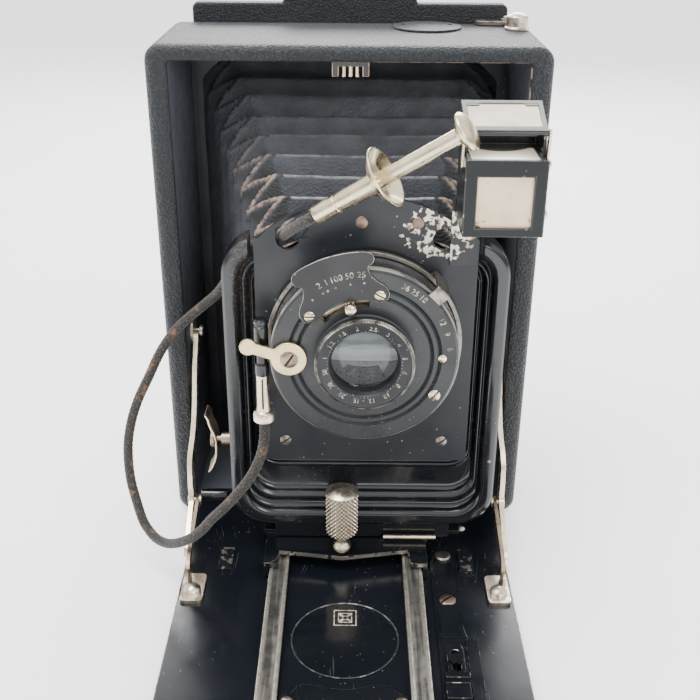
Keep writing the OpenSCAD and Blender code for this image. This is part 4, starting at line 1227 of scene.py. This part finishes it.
def speed_plate():
    bm = bmesh.new()
    extrude(bm, rounded_outline(PLATE_OUTLINE), on_lens(COVER_D), 0.02, PLATE_T)
    black = matt_black("plate_black", 0.42, (0.016, 0.015, 0.015))
    plate = object_from("speed_plate_face", bm, black, LINE)
    bevel(plate, 0.12, 2, 1)
    place(plate, "speed_plate")
    bm = bmesh.new()
    slotted_head(bm, turned(round_lens(78.4, 19.9, COVER_D + PLATE_T), 62 - 78), 1.5, 0.6)
    slotted_head(bm, turned(round_lens(139.6, 20.2, COVER_D + PLATE_T), 90 - 140), 1.5, 0.6)
    slotted_head(bm, turned(facing_front(25.2, COVER_D - 0.05, 71.8), 50), 1.7, 0.55)
    rivet = facing_front(27.0, COVER_D - 0.05, 83.6)
    lathe(bm, [(0, 0), (1.25, 0), (1.15, 0.3), (0.7, 0.5), (0, 0.55)], rivet, 28)
    extra("lens_front", "shutter_screws", bm, NICKEL, SLOT_SHADE, angle=30)


def cable_socket():
    """Nickel collar and split tube below, black guide above."""
    low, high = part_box("cable_socket")
    foot, top = low.z / MM, high.z / MM
    matrix = Matrix.Translation(Vector((low.x + 3.1 * MM, at(0, 40, 0).y, 0)))
    bm = bmesh.new()
    lathe(bm, [
        (0, foot), (2.6, foot), (3.1, foot + 0.5), (3.1, foot + 2.6), (2.7, foot + 3.4),
        (2.1, foot + 3.7), (1.9, foot + 5), (1.8, foot + 13), (1.9, foot + 15.4), (0, foot + 15.4),
    ], matrix, 48)
    place(object_from("cable_collar", bm, NICKEL), "cable_socket")
    bm = bmesh.new()
    lathe(bm, [
        (0, foot + 15.4), (2.0, foot + 15.4), (2.05, foot + 16), (2.05, foot + 18.8), (1.5, foot + 19.4),
        (1.5, foot + 24.2), (2.05, foot + 24.8), (2.05, top - 2.4), (1.75, top - 2.1), (1.75, top - 1.7),
        (2.05, top - 1.4), (2.05, top - 0.5), (1.6, top), (0, top),
    ], matrix, 40)
    extra("lens_front", "cable_guide", bm, GLOSS, angle=30)
    bm = bmesh.new()
    # a dark bar on the collar, painted as the shade in the tube's slit
    slit = [(-0.25, foot + 4.4), (0.35, foot + 4.4), (0.3, foot + 14.6), (-0.2, foot + 14.6)]
    extrude(bm, slit, matrix @ Matrix.Rotation(math.radians(90), 4, "X"), 1.6, 1.92)
    extra("lens_front", "cable_slit", bm, SLOT_SHADE)


def board_screws():
    """Rivets and slotted screws of the board, and the pivot screw of the release lever."""
    board_d = depth_of(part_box("lens_board")[0].y)
    bm = bmesh.new()
    for x in (-18.8, 29.2):
        slotted_head(bm, turned(facing_front(x, board_d - 0.02, 49), 35), 1.7, 0.6)
    screws = object_from("board_screw_heads", bm, STEEL, SLOT_SHADE, angle=30)
    place(screws, "board_screws")
    bm = bmesh.new()
    for x in (3.9, 19.6):
        spot = facing_front(x, board_d - 0.02, 119.4)
        lathe(bm, [(0, 0), (1.8, 0), (1.6, 0.3), (0.9, 0.5), (0, 0.55)], spot, 32)
    extra("lens_front", "board_rivets", bm, COPPER)
    bm = bmesh.new()
    pivot = facing_front(-16.3, depth_of(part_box("release_lever")[0].y), 83.6)
    lathe(bm, [(0, -0.6), (2.6, -0.6), (2.6, 0.05), (2.4, 0.15), (0, 0.15)], pivot, 36)
    slotted_head(bm, turned(pivot @ Matrix.Translation((0, 0, 0.15 * MM)), 55), 2.2, 0.7)
    extra("lens_front", "lever_screw", bm, BROWNED, SLOT_SHADE, angle=30)


def slotted_head(bm, matrix, radius, height):
    """A domed screw head as two halves; the floor of the slot is material 1, which carries the painted shade
    in the slot.
    """
    slot = 0.15 * radius
    for side in (1, -1):
        loops = []
        for share, h in ((1.0, 0), (1.0, height * 0.5), (0.8, height * 0.85), (0.35, height)):
            r = radius * share
            start = math.asin(min(0.99, slot / r))
            arc = [start + (math.pi - 2 * start) * k / 16 for k in range(17)]
            loops.append([inside(matrix, r * math.cos(a), side * r * math.sin(a), h) for a in arc])
        loft(bm, loops)
    before = len(bm.faces)
    lathe(bm, [(0, 0), (radius * 0.97, 0), (radius * 0.97, height * 0.3), (0, height * 0.3)], matrix, 28)
    bm.faces.ensure_lookup_table()
    for face in bm.faces[before:]:
        face.material_index = 1


def front_cell():
    """Lens ring: milled edge, black inner cone and fine index marks."""
    low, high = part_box("front_cell")
    radius = (high.x - low.x) / 2 / MM
    seat, face = depth_of(high.y), depth_of(low.y)
    glass = (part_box("lens_glasses")[1].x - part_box("lens_glasses")[0].x) / 2 / MM
    height = face - COVER_D
    inner = glass + 0.02
    # Radius, height above the cover, and whether the point carries the milling.
    profile = [
        (inner, seat - COVER_D, 0), (12.4, seat - COVER_D, 0), (12.4, 0.02, 0), (radius - 0.5, 0.02, 0),
        (radius - 0.1, 0.4, 0), (radius - 0.1, 1.0, 0), (radius - 0.5, 1.3, 0),
        (radius - 0.5, height - 1.9, 0), (radius, height - 1.6, 0), (radius, height - 0.9, 0),
        (radius - 0.15, height - 0.8, 1), (radius - 0.35, height - 0.25, 1), (radius - 0.6, height - 0.02, 1),
        (radius - 0.72, height, 0), (radius - 0.85, height - 0.05, 0), (radius - 0.95, height - 0.4, 0),
        (12.3, height - 0.5, 0), (glass + 0.8, height - 1.15, 0),
        (glass + 0.5, height - 1.5, 0), (glass + 0.2, height - 2.35, 0), (inner, height - 2.7, 0),
    ]
    teeth = 120
    matrix = on_lens(COVER_D)
    loops = []
    for r, h, milled in profile:
        loop = []
        for a in circle(4 * teeth):
            real = r + (0.26 * (abs(math.sin(teeth * a / 2)) - 1) if milled else 0)
            loop.append(inside(matrix, real * math.cos(a), real * math.sin(a), h))
        loops.append(loop)
    bm = bmesh.new()
    loft(bm, loops, ring=True, slots=[0] * 9 + [1] * 5 + [0] * 7)
    black = matt_black("lens_ring_black", 0.4, (0.014, 0.016, 0.018))
    cell = object_from("lens_ring", bm, black, milled_edge(), angle=24)
    place(cell, "front_cell")
    ring_scale(height)


def ring_scale(height):
    """A plain scale of distances and fine marks on the black face of the ring."""
    tilt = Matrix.Rotation(math.radians(14), 4, "X")
    bm = bmesh.new()
    numbers = ("1", "1.2", "1.5", "2", "2.5", "3", "4", "5", "6", "8", "10", "12", "15", "20", "30", "50")
    for k, number in enumerate(numbers):
        spot = turned(on_lens(COVER_D), -90 - 360 * (k + 0.5) / len(numbers) + 180)
        spot = spot @ Matrix.Translation(Vector((0, 11.3, height - 0.78)) * MM) @ tilt
        add_number(bm, number, 1.9, spot)
        for j in (-1, 0, 1):
            mark = turned(on_lens(COVER_D), 90 - 360 * (k + j * 0.25) / len(numbers))
            mark = mark @ Matrix.Translation(Vector((0, 10.45, height - 1.02)) * MM) @ tilt
            extrude(bm, rectangle(-0.05, 0.05, -0.14, 0.14), mark, -0.04, 0.03)
    extra("lens_front", "lens_ring_scale", bm, ivory_paint())


def milled_edge():
    f = Finish("milled_edge", metallic=0.8)
    f.colour(f.mix(f.step(f.noise(300, 4), 0.35, 0.7), (0.04, 0.04, 0.038), (0.34, 0.32, 0.28)))
    f.mottled_roughness(200, 3, 0.25, 0.4)
    return f.material


def leaf_steel():
    """Dull steel in faint level bands."""
    f = Finish("leaf_steel", metallic=0.3)
    away = f.distance(at(LENS.x / MM, 36, 60), (0, 0, 1))
    shade = f.math("ADD", away, f.times(f.noise(160, 2), 0.002))
    bands = f.math("SINE", f.times(shade, 1700.0))
    f.colour(f.mix(f.step(bands, -0.4, 0.9), (0.24, 0.24, 0.235), (0.33, 0.33, 0.32)))
    return f.mottled_roughness(400, 3, 0.4, 0.55).material


# painted shade: black with no shine, for the dark inside seen through the shutter's opening
def painted_shade_black():
    f = Finish("painted_shade_black", 1.0)
    f.colour(f.mix(f.noise(200, 2), (0.001, 0.001, 0.0012), (0.002, 0.002, 0.0022)))
    return f.set("Specular IOR Level", 0.0).material


def shutter_leaves():
    """Overlapping leaves behind the glass; below them a black disc paints the shade of the opening."""
    d = depth_of(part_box("shutter_blades")[0].y)
    rim = [math.radians(-15 + 210 * k / 24) for k in range(25)]
    bm = bmesh.new()
    for k, (below, bow) in enumerate(((-3.6, 0.0), (0.6, 1.4), (3.4, 1.6))):
        leaf = [(11.9 * math.cos(a), max(11.9 * math.sin(a), below)) for a in rim]
        leaf += [(-7 + 14 * m / 12, below - bow * (1 - ((m - 6) / 6) ** 2)) for m in range(13)]
        extrude(bm, leaf, on_lens(d - 0.3), 0.09 * k, 0.09 * k + 0.07)
    place(object_from("shutter_leaves", bm, leaf_steel()), "shutter_blades")
    bm = bmesh.new()
    lathe(bm, [(0, 0), (12.2, 0), (12.2, 0.06), (0, 0.06)], on_lens(d - 0.4), 48)
    extra("lens_front", "shutter_painted_shade", bm, painted_shade_black())


def aperture_pointer():
    """Ring behind the shutter with a bent tab that reaches over the rim."""
    low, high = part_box("aperture_pointer")
    seat, face = depth_of(high.y), depth_of(low.y)
    bm = bmesh.new()
    hoop(bm, ((27.2, 0), (28.4, 0), (28.4, 1.6), (27.2, 1.6)), on_lens(seat), 96)
    turn = turned(on_lens(seat), 45)
    reach = face - seat
    bent = [
        (28.2, 0.2), (29.6, 0.8), (30.4, 2.2), (30.4, reach - 1.2), (30.0, reach - 0.3), (29.2, reach),
        (26.4, reach - 0.2), (26.4, reach - 0.9), (29.0, reach - 0.7), (29.5, reach - 1.4), (29.5, 2.4),
        (28.9, 1.4), (28.2, 1.2),
    ]
    loft(bm, [[inside(turn, x, y, h) for x, h in bent] for y in (-2.2, 2.2)])
    pointer = object_from("aperture_tab", bm, STEEL, angle=30)
    bevel(pointer, 0.12)
    place(pointer, "aperture_pointer")


def lens_front():
    board = soften("lens_board", 0.25, board_enamel(), BOARD_EDGE)
    board_screws()
    soften("shutter_case", 0.3, SATIN, EDGE_HIGHLIGHT)
    paint(shutter_black(), "shutter_cover")
    paint(STEEL, "iris_blades")
    soften("speed_ring", 0.15, NICKEL)
    aperture_pointer()
    soften("release_lever", 0.3, CREAM, segments=3)
    soften("rear_cell", 0.2, SATIN)
    cable_socket()
    soften("finder_bracket", 0.15, board.data.materials[0], EDGE_HIGHLIGHT)
    soften("plunger_rod", 0.3, NICKEL, segments=3)
    paint(GLASS, "lens_glasses")
    speed_plate()
    dial_numbers()
    front_cell()
    shutter_leaves()


# ---- finder ----

def finder():
    soften("finder_box", 0.35, BOX_BLACK, EDGE_HIGHLIGHT, 3)
    soften("finder_hood_arms", 0.15, NICKEL, other=GLOSS, where=lambda p: 30 * MM < p.x < 50.7 * MM)
    finder_glass()
    finder_lid()


def finder_glass():
    low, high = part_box("finder_box")
    x0, x1, z0 = low.x / MM, high.x / MM, low.z / MM
    top = high.z / MM - 5                            # the walls round the top lens are 5 mm higher
    d0, d1 = depth_of(high.y), depth_of(low.y)
    bm = bmesh.new()
    pane = rounded_box(x0 + 2.6, x1 - 2.8, z0 + 1.8, top - 3.6, 0.6, 3)
    extrude(bm, pane, facing_front(0, d1 - 1.6, 0), 0, 0.5)
    # painted reflection: the cream tone stands for the bright image seen in the window, with stains and a
    # chipped dark edge
    window = reflection_and_stains("window_painted_reflection", (0.86, 0.69, 0.46), 0.34, at((x0 + x1) / 2, d1, z0 + 1))
    window.set("Metallic", 0.3)
    window.set("Specular IOR Level", 0.2)
    place(object_from("finder_window", bm, window.material), "finder_glasses")
    # painted light: the cream tone and the emission stand for the image that the mirror throws up into the
    # top lens
    bright = reflection_and_stains("top_lens_painted_light", (0.92, 0.83, 0.68), 0.25)
    bright.set("Emission Color", (1.0, 0.88, 0.70))   # light that the mirror throws up into the top glass
    bright.set("Emission Strength", 0.35)
    crown = crowned_pane(x0 + 0.95, x1 - 0.95, d0 + 0.95, d1 - 0.9, top - 0.75, 0.5)
    extra("finder", "finder_top_lens", crown, bright.material, angle=60)
    finder_painted_shade((x1 - x0) / 2 - 1.0, at((x0 + x1) / 2, d0 + 0.95, top))


def finder_painted_shade(half, middle_back):
    """Dark sheet over the back of the top lens, bowed forwards: painted shade under the lid."""
    across_bow = [1 - 2 * k / 20 for k in range(21)]
    bow = [(half * u, -(0.3 + 6.2 * (1 - u ** 2))) for u in across_bow]
    bm = bmesh.new()
    extrude(bm, [(half, -0.1)] + bow + [(-half, -0.1)], Matrix.Translation(middle_back), -0.2, 0.15)
    extra("finder", "finder_painted_shade", bm, grey_enamel("painted_shade_enamel", (0.035, 0.04, 0.042)))


def crowned_pane(x0, x1, d0, d1, z, rise, steps=16):
    """A pane whose upper face is a low dome."""
    bm = bmesh.new()
    share = [-1 + 2 * k / steps for k in range(steps + 1)]
    centre_x, centre_d = (x0 + x1) / 2, (d0 + d1) / 2
    half_x, half_d = (x1 - x0) / 2, (d1 - d0) / 2

    def grid_of(height):
        return [[bm.verts.new(at(centre_x + half_x * u, centre_d + half_d * v, height(u, v))) for u in share]
                for v in share]

    upper = grid_of(lambda u, v: z + rise * (1 - u * u) * (1 - v * v))
    lower = grid_of(lambda u, v: z - 0.5)
    for grid in (upper, lower):
        for i in range(steps):
            for k in range(steps):
                bm.faces.new((grid[i][k], grid[i + 1][k], grid[i + 1][k + 1], grid[i][k + 1]))
    rim = [(i, 0) for i in range(steps)] + [(steps, k) for k in range(steps)]
    rim += [(i, steps) for i in range(steps, 0, -1)] + [(0, k) for k in range(steps, 0, -1)]
    for (i, k), (m, n) in zip(rim, rim[1:] + rim[:1]):
        bm.faces.new((upper[i][k], upper[m][n], lower[m][n], lower[i][k]))
    return bm


def reflection_and_stains(name, tone, roughness, chipped=None):
    """Painted reflection: a flat cream tone standing for the light seen in a glass or mirror, with slow
    stains; chipped is the middle of a dark, worn edge.
    """
    f = Finish(name, roughness)
    stain = f.step(f.noise(150, 4), 0.42, 0.72)
    tone = f.mix(stain, tone, dimmed(tone, 0.80))
    if chipped:
        near = f.step(f.distance(chipped, (0.0, 0, 1)), 0.0042, 0.0006)
        sides = f.step(f.distance(chipped, (1, 0, 0)), 0.003, 0.0075)
        chipping = f.math("ADD", f.noise(330, 4), f.times(f.times(near, sides), 0.35))
        chips = f.step(chipping, 0.66, 0.74)
        tone = f.mix(chips, tone, (0.16, 0.13, 0.09))
    f.colour(tone)
    return f.bump(f.noise(300, 3), 0.00005, 0.35)


def finder_lid():
    """Lid: a folded grey frame with corner clips round a mirror, and a lip rolled over the hinge rod."""
    low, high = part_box("finder_hood")
    width = (high.x - low.x) / MM
    long = 14.7
    matrix = Matrix.Translation(at(low.x / MM, 45.1, 148.2)) @ Matrix.Rotation(math.radians(20), 4, "X")
    outer = rectangle(0, width, 0.9, long)
    inner = rectangle(1.3, width - 1.3, 2.5, long - 1.7)
    rings = [(outer, -0.38), (outer, 0.38), (inner, 0.38), (inner, -0.38)]
    bm = bmesh.new()
    loft(bm, [[inside(matrix, x, y, h) for x, y in outline] for outline, h in rings], ring=True)
    for x in (1.2, width - 4.6):
        extrude(bm, rectangle(x, x + 3.4, long - 2.6, long - 1.6), matrix, 0.12, 0.36)
    lid = object_from("finder_lid", bm, grey_enamel(), EDGE_HIGHLIGHT)
    bevel(lid, 0.12, 2, 1)
    place(lid, "finder_hood")
    bm = bmesh.new()
    barrel = matrix @ Matrix.Rotation(math.radians(90), 4, "Y")
    hoop(bm, ((0.56, 0), (0.78, 0), (0.78, width), (0.56, width)), barrel, 24)
    extra("finder_hood", "finder_lid_lip", bm, GLOSS)
    bm = bmesh.new()
    extrude(bm, rectangle(5.2, width - 5.2, long - 1.45, long - 1.0), matrix, 0.3, 0.42)
    extra("finder_hood", "finder_lid_strip", bm, COPPER)
    # painted reflection: a cream tone in place of what the mirror reflects
    mirror = reflection_and_stains("lid_mirror_painted_reflection", (0.98, 0.86, 0.68), 0.14)
    mirror.set("Metallic", 0.15)
    bm = bmesh.new()
    extrude(bm, rectangle(1.1, width - 1.1, 2.3, long - 1.5), matrix, -0.15, 0.1)
    extra("finder_hood", "finder_mirror", bm, mirror.material)


def grey_enamel(name="grey_enamel", tone=(0.25, 0.26, 0.26)):
    f = Finish(name, 0.35)
    f.colour(f.mix(f.noise(160, 4), dimmed(tone, 0.7), tone))
    return f.bump(f.noise(900, 3), 0.00005, 0.4).material


cord()
case_body()
case_fittings()
bellows_piece()
bed()
struts()
clamp_knob()
standard()
lens_front()
finder()
